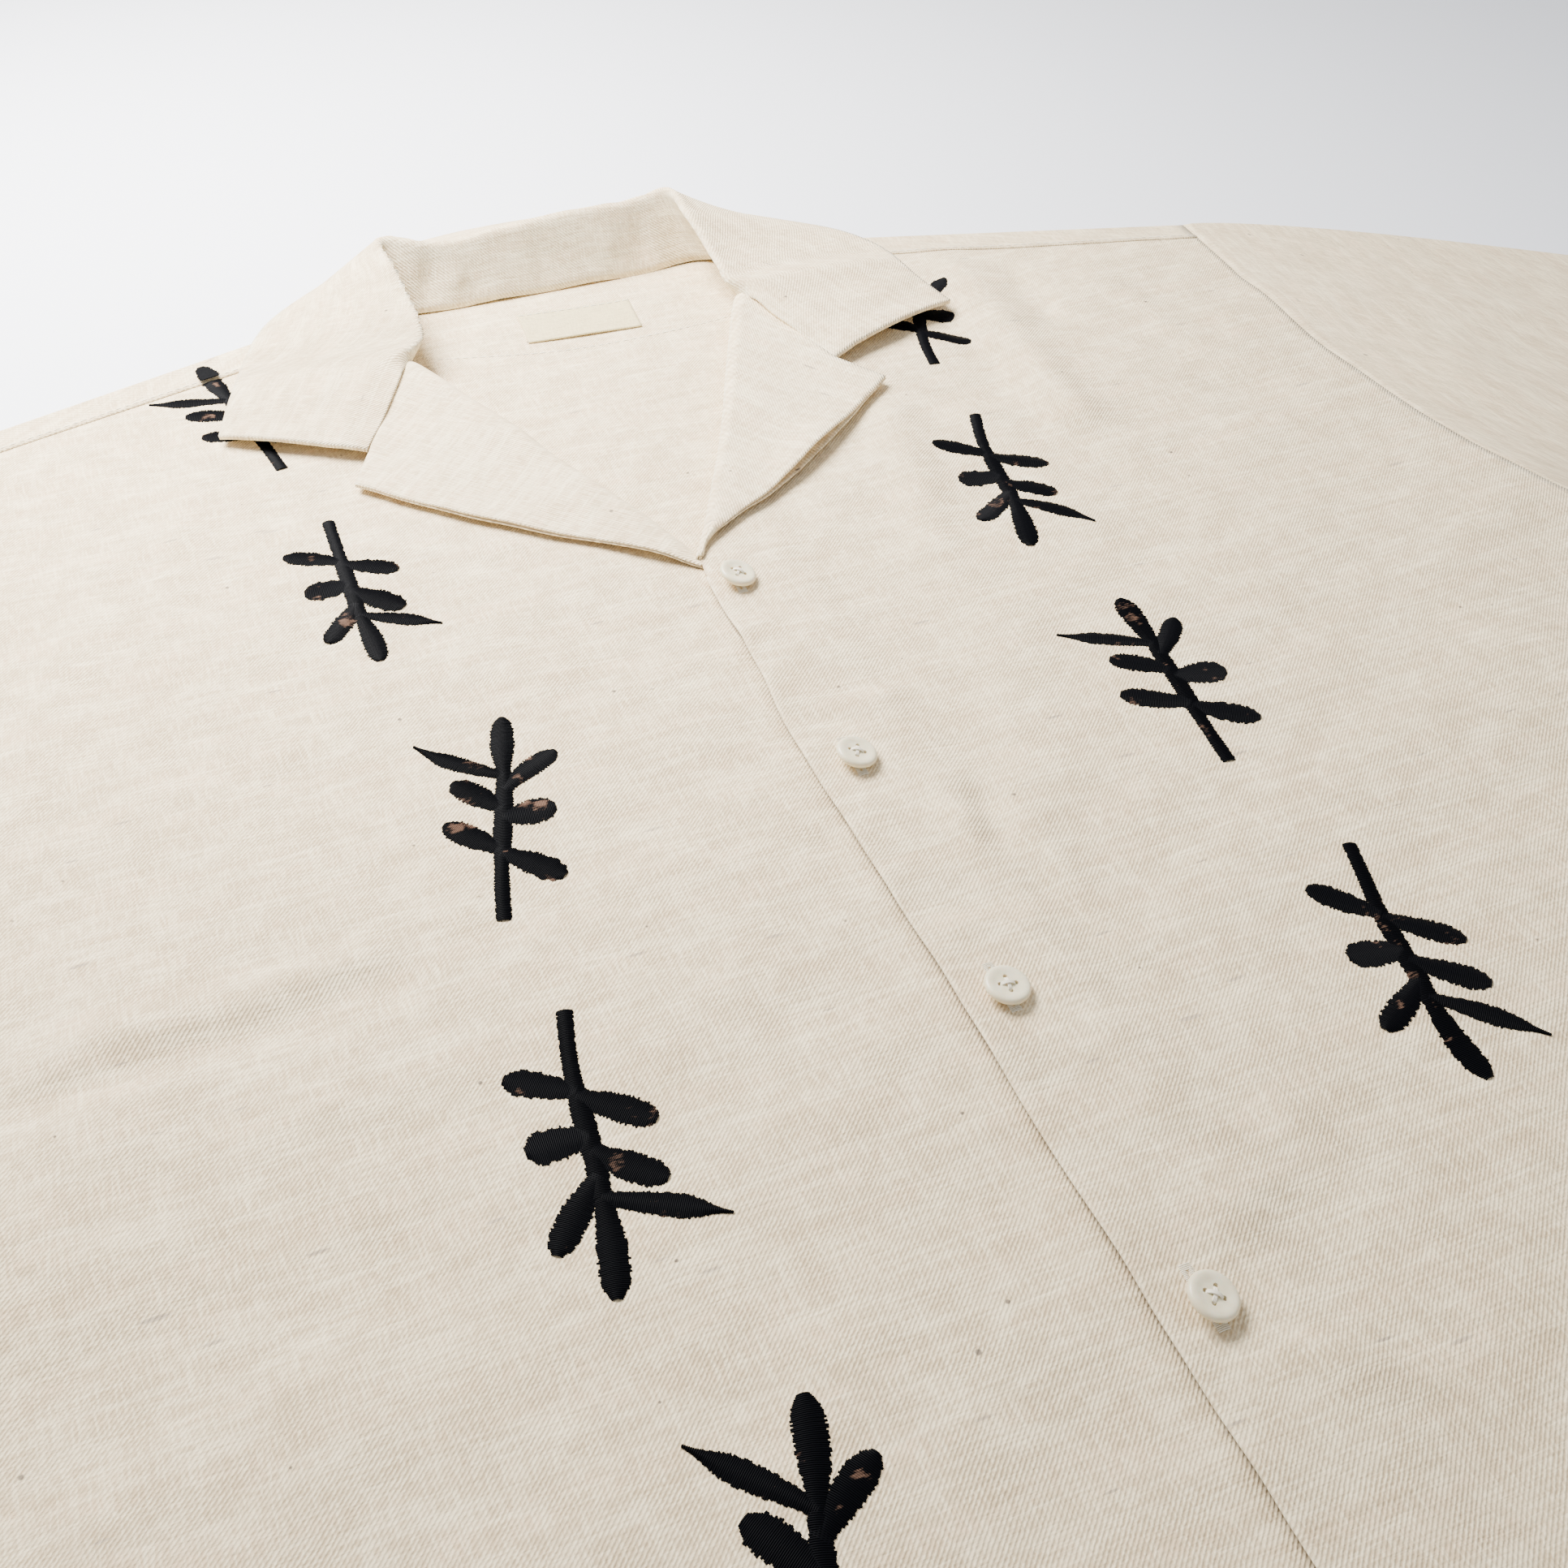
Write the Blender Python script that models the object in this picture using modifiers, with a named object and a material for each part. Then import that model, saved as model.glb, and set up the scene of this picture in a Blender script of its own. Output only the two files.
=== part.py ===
# Casual short-sleeved shirt with an open camp collar, buttoned up and laid flat with its front up.
# Metres, +Z up. +Y runs from the hem to the collar and +X is to the right as the shirt is seen.
# The origin is at the height of the surface it lies on, midway along its length and its width.
# Y in the tables is counted from the top button, as a cutter measures, and level() adds the rest.

import math

import bmesh
import bpy
import numpy as np

# Walls and the space between them
CLOTH = 0.0012                 # one ply of cloth
COLLAR_WALL = 0.0024           # upper and under collar, sewn and turned, face to face
SEAM_GAP = 0.00035             # space left where two pieces are sewn edge to edge
PLY_STEP = 0.0016              # rise from one ply to the next that lies on it
FOLD_RADIUS = 0.0015           # shoulder and sleeve folds, at the middle of the wall
RESTING_Z = 0.0025             # middle of the upper ply where it lies closest to the back

# Body
TOP_BUTTON_Y = 0.125
HEM_Y = -0.525
HEM_HALF_WIDTH = 0.290
CHEST_HALF_WIDTH = 0.300
UNDERARM_Y = -0.097
NECK_POINT = (0.078, 0.2185)   # high point of the shoulder, at the neck
SHOULDER_POINT = (0.2605, 0.1617)
YOKE_TURN = (0.0178, 0.0120)   # how far the back comes over to the front, at the neck and at the armhole
BACK_NECK_Y = 0.2133
BACK_NECK_CURVE = 8            # power of the curve that takes the back neck up to the neck point

# Sleeves
SLEEVE_TOP = 0.240
SLEEVE_ANGLE = math.radians(-35)
SLEEVE_CAP = 0.0095            # how far the top fold bows out over a straight line
CUFF_WIDTH = 0.200

# Fastening
BUTTON_SPACING = 0.088
BUTTON_RADIUS = 0.00575
OVERLAP_HALF = 0.0135

# Each button's place across the overlap and its tilt in degrees about X and Y, from the top down
BUTTONS = (
    # x, tilt about X, tilt about Y
    (0.0000, 2.0, 2.0),
    (0.0004, -1.0, 1.5),
    (0.0000, 1.5, -1.0),
    (0.0000, -1.5, 2.0),
    (0.0003, 1.0, -1.5),
    (-0.0002, 0.5, 1.0),
)
# Turned profile of a button: radius and height, from the middle of its dish to the middle of its back
BUTTON_PROFILE = (
    (0.0, 0.0017), (0.0028, 0.0017), (0.0037, 0.0025), (0.0047, 0.0027), (0.0055, 0.0021),
    (BUTTON_RADIUS, 0.0013), (0.0053, 0.0004), (0.0042, 0.0), (0.0, 0.0),
)
BUTTON_STEPS = 20

# Label, inside the back neck
LABEL_SIZE = (0.0435, 0.0225)
LABEL_CENTRE = (0.0064, 0.1830)
LABEL_TURN = math.radians(-5)
LABEL_WALL = 0.0010
LABEL_LIFT = 0.0016            # how far its loose lower edge stands off the back

# Armhole seam of the right half, from the underarm up
ARMHOLE = ((0.300, -0.097), (0.2775, -0.066), (0.2620, -0.016), (0.2555, 0.050), (0.2575, 0.115),
           (0.2605, 0.1617))

# The fold of each lapel and its free edge, from the break up; the notch ends the collar seam.
LAPELS = {
    "right": {
        "roll": ((-0.0068, 0.0145), (0.0035, 0.0355), (0.0267, 0.0833), (0.0410, 0.1165), (0.0600, 0.1590)),
        "edge": ((-0.0030, 0.0145), (0.0012, 0.0236), (0.0275, 0.0402), (0.0559, 0.0607), (0.0925, 0.0914)),
        "notch": (0.0805, 0.1100),
    },
    "left": {
        "roll": ((-0.0088, 0.0168), (-0.0165, 0.0460), (-0.0318, 0.0860), (-0.0500, 0.1350),
                 (-0.0590, 0.1570)),
        "edge": ((-0.0118, 0.0160), (-0.0200, 0.0238), (-0.0416, 0.0421), (-0.0716, 0.0672),
                 (-0.0973, 0.0955)),
        "notch": (-0.0885, 0.1128),
    },
}
ROLL_RADIUS = (0.0013, 0.0038)     # fold of the lapel at the break and at the neck
NECK_BOW = (0.0015, -0.001)        # how far the front neck edge bows off a straight line
LAPEL_LIFT = (0.0022, 0.0030)      # how far the lapel's free edge stands off the front
PLY_PARTING = 0.0022               # how far the two plies of the upper lapel's edge part

# Front edge of the upper front, which is a little wavy, and of the under front.
UPPER_EDGE = ((-0.0105, -0.525), (-0.0103, -0.310), (-0.0108, -0.220), (-0.0104, -0.158), (-0.0111, -0.078),
              (-0.0084, -0.036), (-0.0076, 0.008))
UNDER_EDGE = ((0.0135, -0.525), (0.0135, -0.300), (0.0135, -0.175), (0.0135, -0.075), (0.0135, -0.020),
              (0.0135, 0.010))

# Collar sections: where it is sewn on, its crest and its free edge, from the right notch round the
# back of the neck to the left notch. In front of the lapel's fold the collar has no stand, and its
# crest is only a place on the leaf.
COLLAR = (
    # seam x, y, z               crest x, y, z               free edge x, y, z
    ((0.0810, 0.1102, 0.0080), (0.0925, 0.1150, 0.0088), (0.1385, 0.1325, 0.0078)),
    ((0.0762, 0.1247, 0.0094), (0.0880, 0.1292, 0.0104), (0.1368, 0.1440, 0.0077)),
    ((0.0712, 0.1397, 0.0111), (0.0820, 0.1440, 0.0123), (0.1355, 0.1560, 0.0076)),
    ((0.0678, 0.1530, 0.0126), (0.0745, 0.1580, 0.0147), (0.1350, 0.1680, 0.0075)),
    ((0.0653, 0.1640, 0.0094), (0.0624, 0.1665, 0.0156), (0.1340, 0.1800, 0.0074)),
    ((0.0692, 0.1755, 0.0056), (0.0618, 0.1760, 0.0178), (0.1305, 0.1930, 0.0070)),
    ((0.0731, 0.1890, 0.0054), (0.0615, 0.1890, 0.0210), (0.1240, 0.2080, 0.0058)),
    ((0.0752, 0.2020, 0.0060), (0.0598, 0.2080, 0.0252), (0.1120, 0.2260, 0.0036)),
    ((0.0655, 0.2135, 0.0031), (0.0595, 0.2262, 0.0270), (0.0900, 0.2500, 0.0014)),
    ((0.0430, 0.2120, 0.0026), (0.0435, 0.2262, 0.0258), (0.0570, 0.2665, 0.0014)),
    ((0.0220, 0.2115, 0.0026), (0.0220, 0.2248, 0.0250), (0.0260, 0.2730, 0.0014)),
    ((0.0000, 0.2114, 0.0026), (0.0000, 0.2245, 0.0246), (0.0000, 0.2745, 0.0014)),
    ((-0.0220, 0.2115, 0.0026), (-0.0200, 0.2242, 0.0236), (-0.0260, 0.2725, 0.0014)),
    ((-0.0430, 0.2120, 0.0026), (-0.0390, 0.2240, 0.0229), (-0.0540, 0.2650, 0.0014)),
    ((-0.0655, 0.2135, 0.0031), (-0.0570, 0.2270, 0.0264), (-0.0830, 0.2450, 0.0014)),
    ((-0.0752, 0.2020, 0.0060), (-0.0572, 0.2080, 0.0250), (-0.1010, 0.2250, 0.0036)),
    ((-0.0729, 0.1880, 0.0054), (-0.0562, 0.1890, 0.0210), (-0.1105, 0.2075, 0.0058)),
    ((-0.0683, 0.1735, 0.0056), (-0.0562, 0.1745, 0.0178), (-0.1160, 0.1930, 0.0070)),
    ((-0.0640, 0.1616, 0.0094), (-0.0594, 0.1642, 0.0156), (-0.1205, 0.1810, 0.0074)),
    ((-0.0677, 0.1515, 0.0126), (-0.0750, 0.1564, 0.0147), (-0.1240, 0.1710, 0.0075)),
    ((-0.0736, 0.1396, 0.0111), (-0.0840, 0.1440, 0.0123), (-0.1275, 0.1610, 0.0076)),
    ((-0.0814, 0.1262, 0.0094), (-0.0920, 0.1310, 0.0104), (-0.1310, 0.1500, 0.0077)),
    ((-0.0890, 0.1131, 0.0080), (-0.0985, 0.1180, 0.0088), (-0.1340, 0.1400, 0.0078)),
)

# Largest soft folds of the upper layer: ends, half width and height, with a trough below zero.
FOLDS = (
    # x0, y0, x1, y1, half width, height
    (0.158, 0.180, 0.146, 0.050, 0.011, 0.0024),
    (0.086, 0.070, 0.066, -0.004, 0.010, 0.0018),
    (0.062, -0.060, 0.040, -0.120, 0.012, 0.0014),
    (-0.150, -0.190, -0.250, -0.206, 0.014, -0.0016),
    (-0.060, 0.120, -0.040, 0.096, 0.009, 0.0010),
    (0.200, -0.120, 0.275, -0.230, 0.020, 0.0026),
    (-0.190, -0.110, -0.276, -0.200, 0.020, 0.0026),
    (0.120, -0.300, 0.210, -0.420, 0.022, 0.0020),
    (-0.130, -0.330, -0.230, -0.470, 0.024, 0.0024),
    (0.060, -0.400, 0.090, -0.510, 0.018, 0.0018),
    (0.272, 0.090, 0.400, 0.010, 0.016, 0.0020),
    (0.290, 0.020, 0.372, -0.080, 0.018, 0.0024),
    (-0.272, 0.090, -0.400, 0.010, 0.016, 0.0018),
    (-0.290, 0.030, -0.380, -0.070, 0.018, 0.0026),
)
AIR = 0.0010                   # how far the upper layer stands off between its edges
LYING_EDGE = 0.060             # width along the hem, the sides and the shoulder where it comes down flat

# Grid sizes
LAPEL_ROWS = 10
LAPEL_STEPS = 9                # points of a lapel from its fold to its edge
GORGE_SHARE = 5 / 8            # part of a lapel's top that the collar is sewn to
FOLD_TURNS = (-45, 0, 45)      # angles of the points round a fold
BODY_ROWS = 15                 # rows from the hem to the underarm
SLEEVE_ROWS = 8

for old in list(bpy.data.objects):
    bpy.data.objects.remove(old)
shirt = bpy.data.collections.new("casual_shirt")
bpy.context.scene.collection.children.link(shirt)


def level(points):
    """Moves points from the top button's Y to the origin's."""
    moved = np.array(points, float)
    moved[..., 1] += TOP_BUTTON_Y
    return moved


def smooth_line(points, count):
    """Evenly spaced points along a smooth curve through the given ones."""
    knots = np.array(points, float)
    padded = np.vstack([2 * knots[0] - knots[1], knots, 2 * knots[-1] - knots[-2]])
    dense = []
    for i in range(len(knots) - 1):
        a, b, c, d = padded[i:i + 4]
        for t in np.linspace(0, 1, 12, endpoint=False):
            dense.append(0.5 * (2 * b + (c - a) * t + (2 * a - 5 * b + 4 * c - d) * t ** 2
                                + (3 * b - a - 3 * c + d) * t ** 3))
    dense.append(knots[-1])
    dense = np.array(dense)
    run = np.concatenate([[0], np.cumsum(np.linalg.norm(np.diff(dense, axis=0), axis=1))])
    even = np.linspace(0, run[-1], count)
    return np.stack([np.interp(even, run, dense[:, k]) for k in range(dense.shape[1])], axis=1)


def smooth_line_by_index(knots, steps):
    """Sections between the given ones, with every given one kept."""
    padded = np.vstack([2 * knots[0] - knots[1], knots, 2 * knots[-1] - knots[-2]])
    out = []
    for i in range(len(knots) - 1):
        a, b, c, d = padded[i:i + 4]
        for t in np.linspace(0, 1, steps, endpoint=False):
            out.append(0.5 * (2 * b + (c - a) * t + (2 * a - 5 * b + 4 * c - d) * t ** 2
                              + (3 * b - a - 3 * c + d) * t ** 3))
    out.append(knots[-1])
    return np.array(out)


def ease(x):
    """Smooth step from 0 to 1."""
    x = min(max(x, 0.0), 1.0)
    return x * x * (3 - 2 * x)


def mix(a, b, t):
    return a + (b - a) * t


YOKE_END_Y = SHOULDER_POINT[1] - YOKE_TURN[1]
# Heights of the armhole's corners, which the back, the fronts and the sleeves share
ARMHOLE_YS = np.concatenate([np.linspace(UNDERARM_Y, -0.010, 5), np.linspace(0.002, 0.120, LAPEL_ROWS),
                             np.linspace(0.120, YOKE_END_Y, 4)[1:], [SHOULDER_POINT[1]]])
ARMHOLE_CURVE = smooth_line(ARMHOLE, 60)
ARMHOLE_LINE = np.stack([np.interp(ARMHOLE_YS, ARMHOLE_CURVE[:, 1], ARMHOLE_CURVE[:, 0]), ARMHOLE_YS], axis=1)


def armhole_x(y):
    return float(np.interp(y, ARMHOLE_LINE[:, 1], ARMHOLE_LINE[:, 0]))


def shoulder_y(x):
    """Y of the shoulder fold at a distance x from the middle."""
    slope = (SHOULDER_POINT[1] - NECK_POINT[1]) / (SHOULDER_POINT[0] - NECK_POINT[0])
    return NECK_POINT[1] + slope * (abs(x) - NECK_POINT[0])


def fold_height(x, y):
    """Height that the soft folds add at a point."""
    total = 0.0
    for x0, y0, x1, y1, half_width, height in FOLDS:
        dx, dy = x1 - x0, y1 - y0
        t = ((x - x0) * dx + (y - y0) * dy) / (dx * dx + dy * dy)
        nearest = min(max(t, 0.0), 1.0)
        away = math.hypot(x - x0 - nearest * dx, y - y0 - nearest * dy)
        total += height * math.exp(-(away / half_width) ** 2)
    return total


def upper_z(x, y):
    """Middle of the upper layer's wall over the back."""
    to_shoulder = shoulder_y(x) - y
    inside = ease((y - HEM_Y) / LYING_EDGE) * ease(to_shoulder / LYING_EDGE)
    if y < UNDERARM_Y:
        inside *= ease((CHEST_HALF_WIDTH + 0.004 - abs(x)) / LYING_EDGE)
    turned = CLOTH / 2 + 2 * FOLD_RADIUS
    base = mix(turned, RESTING_Z, ease((to_shoulder - 0.015) / 0.050))
    return max(base + (AIR + fold_height(x, y)) * inside, RESTING_Z)


def sheet(name, rows, wall, material, closed=False):
    """One wall of cloth from a grid of points; a row may start later or end sooner than its neighbours."""
    mesh = bmesh.new()
    grid = []
    for row in rows:
        grid.append([None if p is None else mesh.verts.new(p) for p in row])
    for j in range(len(grid) - 1):
        low, high = grid[j], grid[j + 1]
        span = len(low) if closed else len(low) - 1
        for i in range(span):
            k = (i + 1) % len(low)
            corners = (low[i], low[k], high[k], high[i])
            if None not in corners:
                mesh.faces.new(corners)
    data = bpy.data.meshes.new(name)
    mesh.to_mesh(data)
    mesh.free()
    data.shade_smooth()
    piece = bpy.data.objects.new(name, data)
    data.materials.append(material)
    solid = piece.modifiers.new("wall", "SOLIDIFY")
    solid.thickness = wall
    solid.offset = 0.0
    solid.use_quality_normals = True
    shirt.objects.link(piece)
    return piece


def finish(name, colour, roughness):
    material = bpy.data.materials.new(name)
    material.use_nodes = True
    shader = material.node_tree.nodes["Principled BSDF"]
    shader.inputs["Base Color"].default_value = (*colour, 1.0)
    shader.inputs["Roughness"].default_value = roughness
    shader.inputs["Metallic"].default_value = 0.0
    return material


def side_x(y):
    """Half width of the body at a height Y: side seam below the underarm, armhole above it."""
    if y > UNDERARM_Y:
        return armhole_x(y)
    return mix(HEM_HALF_WIDTH, CHEST_HALF_WIDTH, (y - HEM_Y) / (UNDERARM_Y - HEM_Y))


def yoke_seam(t):
    """Seam between the turned-over back and the front, from the neck (0) to the armhole (1)."""
    start = np.array((NECK_POINT[0] - 0.0025, NECK_POINT[1] - YOKE_TURN[0]))
    return mix(start, np.array((armhole_x(YOKE_END_Y), YOKE_END_Y)), t)


def make_back(material):
    shoulder = np.linspace(NECK_POINT[0], SHOULDER_POINT[0], 7)
    half = np.concatenate([np.linspace(0, NECK_POINT[0], 5)[:-1], shoulder])
    tops = np.concatenate([-half[:0:-1], half])
    side_ys = np.concatenate([np.linspace(HEM_Y, UNDERARM_Y, 4), ARMHOLE_YS[1:]])
    rise = NECK_POINT[1] - BACK_NECK_Y
    rows = []
    for side_y in side_ys:
        up = (side_y - HEM_Y) / (SHOULDER_POINT[1] - HEM_Y)
        row = []
        for x in tops:
            top_y = shoulder_y(x)
            if abs(x) < NECK_POINT[0]:
                top_y = BACK_NECK_Y + rise * (abs(x) / NECK_POINT[0]) ** BACK_NECK_CURVE
            across = x / SHOULDER_POINT[0]
            row.append((across * side_x(side_y), mix(HEM_Y, top_y, up), CLOTH / 2))
        rows.append(row)
    steps = [("turn", a) for a in (-45, 0, 45, 90)] + [("over", t) for t in (0.5, 1.0)]
    for kind, amount in steps:
        row = []
        for x in tops:
            if abs(x) < NECK_POINT[0] - 1e-6:
                row.append(None)
                continue
            if kind == "turn":
                angle = math.radians(amount)
                row.append((x, shoulder_y(x) + FOLD_RADIUS * math.cos(angle),
                            CLOTH / 2 + FOLD_RADIUS * (1 + math.sin(angle))))
                continue
            t = (abs(x) - NECK_POINT[0]) / (SHOULDER_POINT[0] - NECK_POINT[0])
            seam = yoke_seam(t) * (math.copysign(1, x), 1)
            px, py = mix(np.array((x, shoulder_y(x))), seam, amount)
            row.append((px, py, upper_z(px, py)))
        rows.append(row)
    return sheet("back", [[None if p is None else level(p) for p in row] for row in rows], CLOTH, material)


def front_z(side, x, y):
    """Middle of a front's wall; the upper front climbs over the under front."""
    z = upper_z(x, y)
    if side == "right":
        climb = 1 - ease((x - OVERLAP_HALF - 0.002) / 0.016)
        climb *= 1 - ease((y - 0.022) / 0.050)
        z += PLY_STEP * climb
    return z


def lapel_rows(side, count):
    """For each row of a lapel: the fold's axis, the way it faces, its radius and the lapel's points."""
    table = LAPELS[side]
    mirror = 1 if side == "right" else -1
    roll = smooth_line(table["roll"], count)
    free = smooth_line(table["edge"], count)
    along = np.gradient(roll, axis=0)
    along /= np.linalg.norm(along, axis=1)[:, None]
    out = np.stack([along[:, 1], -along[:, 0]], axis=1) * mirror
    radius = np.linspace(*ROLL_RADIUS, count)
    axis = roll + out * (radius + PLY_STEP)[:, None]
    notch, tip = np.array(table["notch"]), free[-1]
    rows = []
    for k in range(count):
        u = k / (count - 1)
        points = []
        for v in np.linspace(0, 1, LAPEL_STEPS):
            straight = mix(axis[k], free[k], v)
            top = mix(axis[-1], notch, v / GORGE_SHARE)
            if v > GORGE_SHARE:
                top = mix(notch, tip, (v - GORGE_SHARE) / (1 - GORGE_SHARE))
            x, y = straight + u * (top - mix(axis[-1], tip, v))
            stand = mix(*LAPEL_LIFT, u)
            lift = stand + (2 * radius[k] - stand) * (1 - v) ** 1.5
            points.append((x, y, front_z(side, x, y) + lift))
        rows.append((axis[k], out[k], radius[k], np.array(points)))
    return rows


def make_front(side, material):
    mirror = 1 if side == "right" else -1
    edge = smooth_line(UPPER_EDGE if side == "right" else UNDER_EDGE, 40)
    lapel = lapel_rows(side, LAPEL_ROWS)
    break_y = edge[-1, 1]
    seam_start = yoke_seam(0)
    low = np.linspace(HEM_Y, UNDERARM_Y, BODY_ROWS)
    middle = np.linspace(UNDERARM_Y, break_y, 5)[1:]
    inner = [(np.interp(y, edge[:, 1], edge[:, 0]), y) for y in np.concatenate([low, middle])]
    inner += [row[0] for row in lapel]
    corner = lapel[-1][0]
    neck_end = seam_start * (mirror, 1)
    bow = (NECK_BOW[0] * mirror, NECK_BOW[1])
    neck = smooth_line((corner, mix(corner, neck_end, 0.5) + bow, neck_end), 4)[1:]
    inner += list(neck)
    outer_y = np.concatenate([low, ARMHOLE_YS[1:-1]])
    near = np.array((0.0, 0.009, 0.018, 0.027, 0.036, 0.046))
    rows = []
    for j, (start, y) in enumerate(zip(inner, outer_y)):
        start = np.array(start, float)
        if j == len(inner) - 1:
            start[1] -= SEAM_GAP
            y -= SEAM_GAP
        end = np.array((mirror * side_x(y), y))
        length = np.linalg.norm(end - start)
        runs = np.concatenate([near, np.linspace(near[-1], length, 10)[1:]])
        row = []
        for run in runs[::-1]:
            x, y_here = mix(start, end, run / length)
            row.append((x, y_here, front_z(side, x, y_here)))
        k = j - len(low) - len(middle)
        if 0 <= k < LAPEL_ROWS:
            axis, out, radius, points = lapel[k]
            centre_z = row[-1][2] + radius
            for angle in FOLD_TURNS:
                turn = math.radians(angle)
                x, y_here = axis - out * radius * math.cos(turn)
                row.append((x, y_here, centre_z + radius * math.sin(turn)))
            row += list(points)
        else:
            row += [None] * (len(FOLD_TURNS) + LAPEL_STEPS)
        rows.append([None if p is None else level(p) for p in row])
    return sheet("front_" + side, rows, CLOTH, material)


def make_facing(side, material):
    """The facing turns round the lapel's fold, from just above the back, and lies on the lapel."""
    rows = []
    for k, (axis, out, radius, points) in enumerate(lapel_rows(side, LAPEL_ROWS)):
        centre_z = front_z(side, *axis) + radius
        turn_radius = radius + PLY_STEP
        lowest = 1.5 * CLOTH + 2 * SEAM_GAP
        if side == "right" and axis[1] < 0.028:
            lowest = upper_z(*axis) + PLY_STEP
        first = -math.asin(min((centre_z - lowest) / turn_radius, 0.95))
        row = []
        for turn in np.linspace(first, math.pi / 2, 6)[:-1]:
            x, y = axis - out * turn_radius * math.cos(turn)
            row.append((x, y, centre_z + turn_radius * math.sin(turn)))
        for v, (x, y, z) in zip(np.linspace(0, 1, len(points)), points):
            u = k / (LAPEL_ROWS - 1)
            parting = PLY_PARTING * ease((v - 0.55) / 0.45) * math.exp(-((u - 0.62) / 0.16) ** 2)
            if side == "left":
                parting = 0.0
            row.append((x, y, z + PLY_STEP + parting))
        rows.append([level(p) for p in row])
    return sheet("facing_" + side, rows, CLOTH, material)


def make_collar(material):
    knots = np.array([[*seam, *crest, *free] for seam, crest, free in COLLAR])
    stations = smooth_line_by_index(knots, 2)
    rows = []
    for station in stations:
        seam, crest, free = station[:3], station[3:6], station[6:]
        flat = (free - crest) * (1, 1, 0)
        flat /= np.linalg.norm(flat)
        stand = max(crest[2] - seam[2] - 0.003, 0.0) / 0.020
        drop = np.array((0, 0, 0.0020)) * min(stand, 1.0)
        inside = crest - drop - flat * 0.0022
        outside = crest - drop + flat * 0.0026
        row = [mix(seam, inside, t) for t in (0, 1 / 3, 2 / 3, 1)]
        row.append(crest)
        for t in np.linspace(0, 1, 7):
            row.append(mix(outside, free, t))
        rows.append([level(p) for p in row])
    return sheet("collar", rows, COLLAR_WALL, material)


def make_sleeve(side, material):
    """A flattened tube: the lower half lies on the table, the upper half on it, folded at both edges."""
    mirror = 1 if side == "right" else -1
    along = np.array((math.cos(SLEEVE_ANGLE), math.sin(SLEEVE_ANGLE)))
    down = np.array((along[1], -along[0]))
    cuff_top = np.array(SHOULDER_POINT) + along * SLEEVE_TOP
    cuff_bottom = cuff_top + down * CUFF_WIDTH
    root = ARMHOLE_LINE + (SEAM_GAP, 0)
    share = (ARMHOLE_YS - UNDERARM_Y) / (SHOULDER_POINT[1] - UNDERARM_Y)
    cuff = share[:, None] * (cuff_top - cuff_bottom) + cuff_bottom
    underarm = cuff_bottom - root[0]
    low_out = np.array((underarm[1], -underarm[0])) / np.linalg.norm(underarm)
    high_out = -down
    turned = CLOTH / 2 + 2 * FOLD_RADIUS
    rows = []
    for s in np.linspace(0, 1, SLEEVE_ROWS):
        line = mix(root, cuff, s)
        line += high_out * SLEEVE_CAP * math.sin(math.pi * s ** 0.6) * share[:, None] ** 2
        turn_low = mix(np.array((0.15, -0.99)), low_out, s)
        turn_high = mix(np.array((0.0, 1.0)), high_out, s)
        row = [(x, y, CLOTH / 2) for x, y in line]
        for angle in FOLD_TURNS:
            turn = math.radians(angle)
            x, y = line[-1] + turn_high * FOLD_RADIUS * math.cos(turn)
            row.append((x, y, CLOTH / 2 + FOLD_RADIUS * (1 + math.sin(turn))))
        for t, (x, y), (root_x, root_y) in zip(share[::-1], line[::-1], ARMHOLE_LINE[::-1]):
            from_fold = min(t, 1 - t)
            body_edge = mix(turned, upper_z(mirror * root_x, root_y), ease(from_fold / 0.12))
            air = (AIR + fold_height(mirror * x, y)) * ease((1 - s) / 0.2)
            free = mix(turned, RESTING_Z + air, ease(from_fold / 0.25))
            row.append((x, y, max(mix(body_edge, free, ease(s / 0.25)), RESTING_Z)))
        for angle in (45, 0, -45):
            turn = math.radians(angle)
            x, y = line[0] + turn_low * FOLD_RADIUS * math.cos(turn)
            row.append((x, y, CLOTH / 2 + FOLD_RADIUS * (1 + math.sin(turn))))
        rows.append([level((x * mirror, y, z)) for x, y, z in row])
    return sheet("sleeve_" + side, rows, CLOTH, material, closed=True)


def make_label(material):
    """Sewn on along its top edge, so its lower edge stands a little off the back."""
    width, height = LABEL_SIZE
    across = np.array((math.cos(LABEL_TURN), math.sin(LABEL_TURN)))
    up = np.array((-across[1], across[0]))
    rows = []
    for v in np.linspace(-0.5, 0.5, 6):
        row = []
        for u in np.linspace(-0.5, 0.5, 9):
            x, y = np.array(LABEL_CENTRE) + across * u * width + up * v * height
            lift = LABEL_LIFT * (0.5 - v) ** 2 * (0.7 + 0.3 * math.cos(2 * math.pi * u))
            row.append(level((x, y, CLOTH + SEAM_GAP + LABEL_WALL / 2 + lift)))
        rows.append(row)
    return sheet("label", rows, LABEL_WALL, material)


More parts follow.
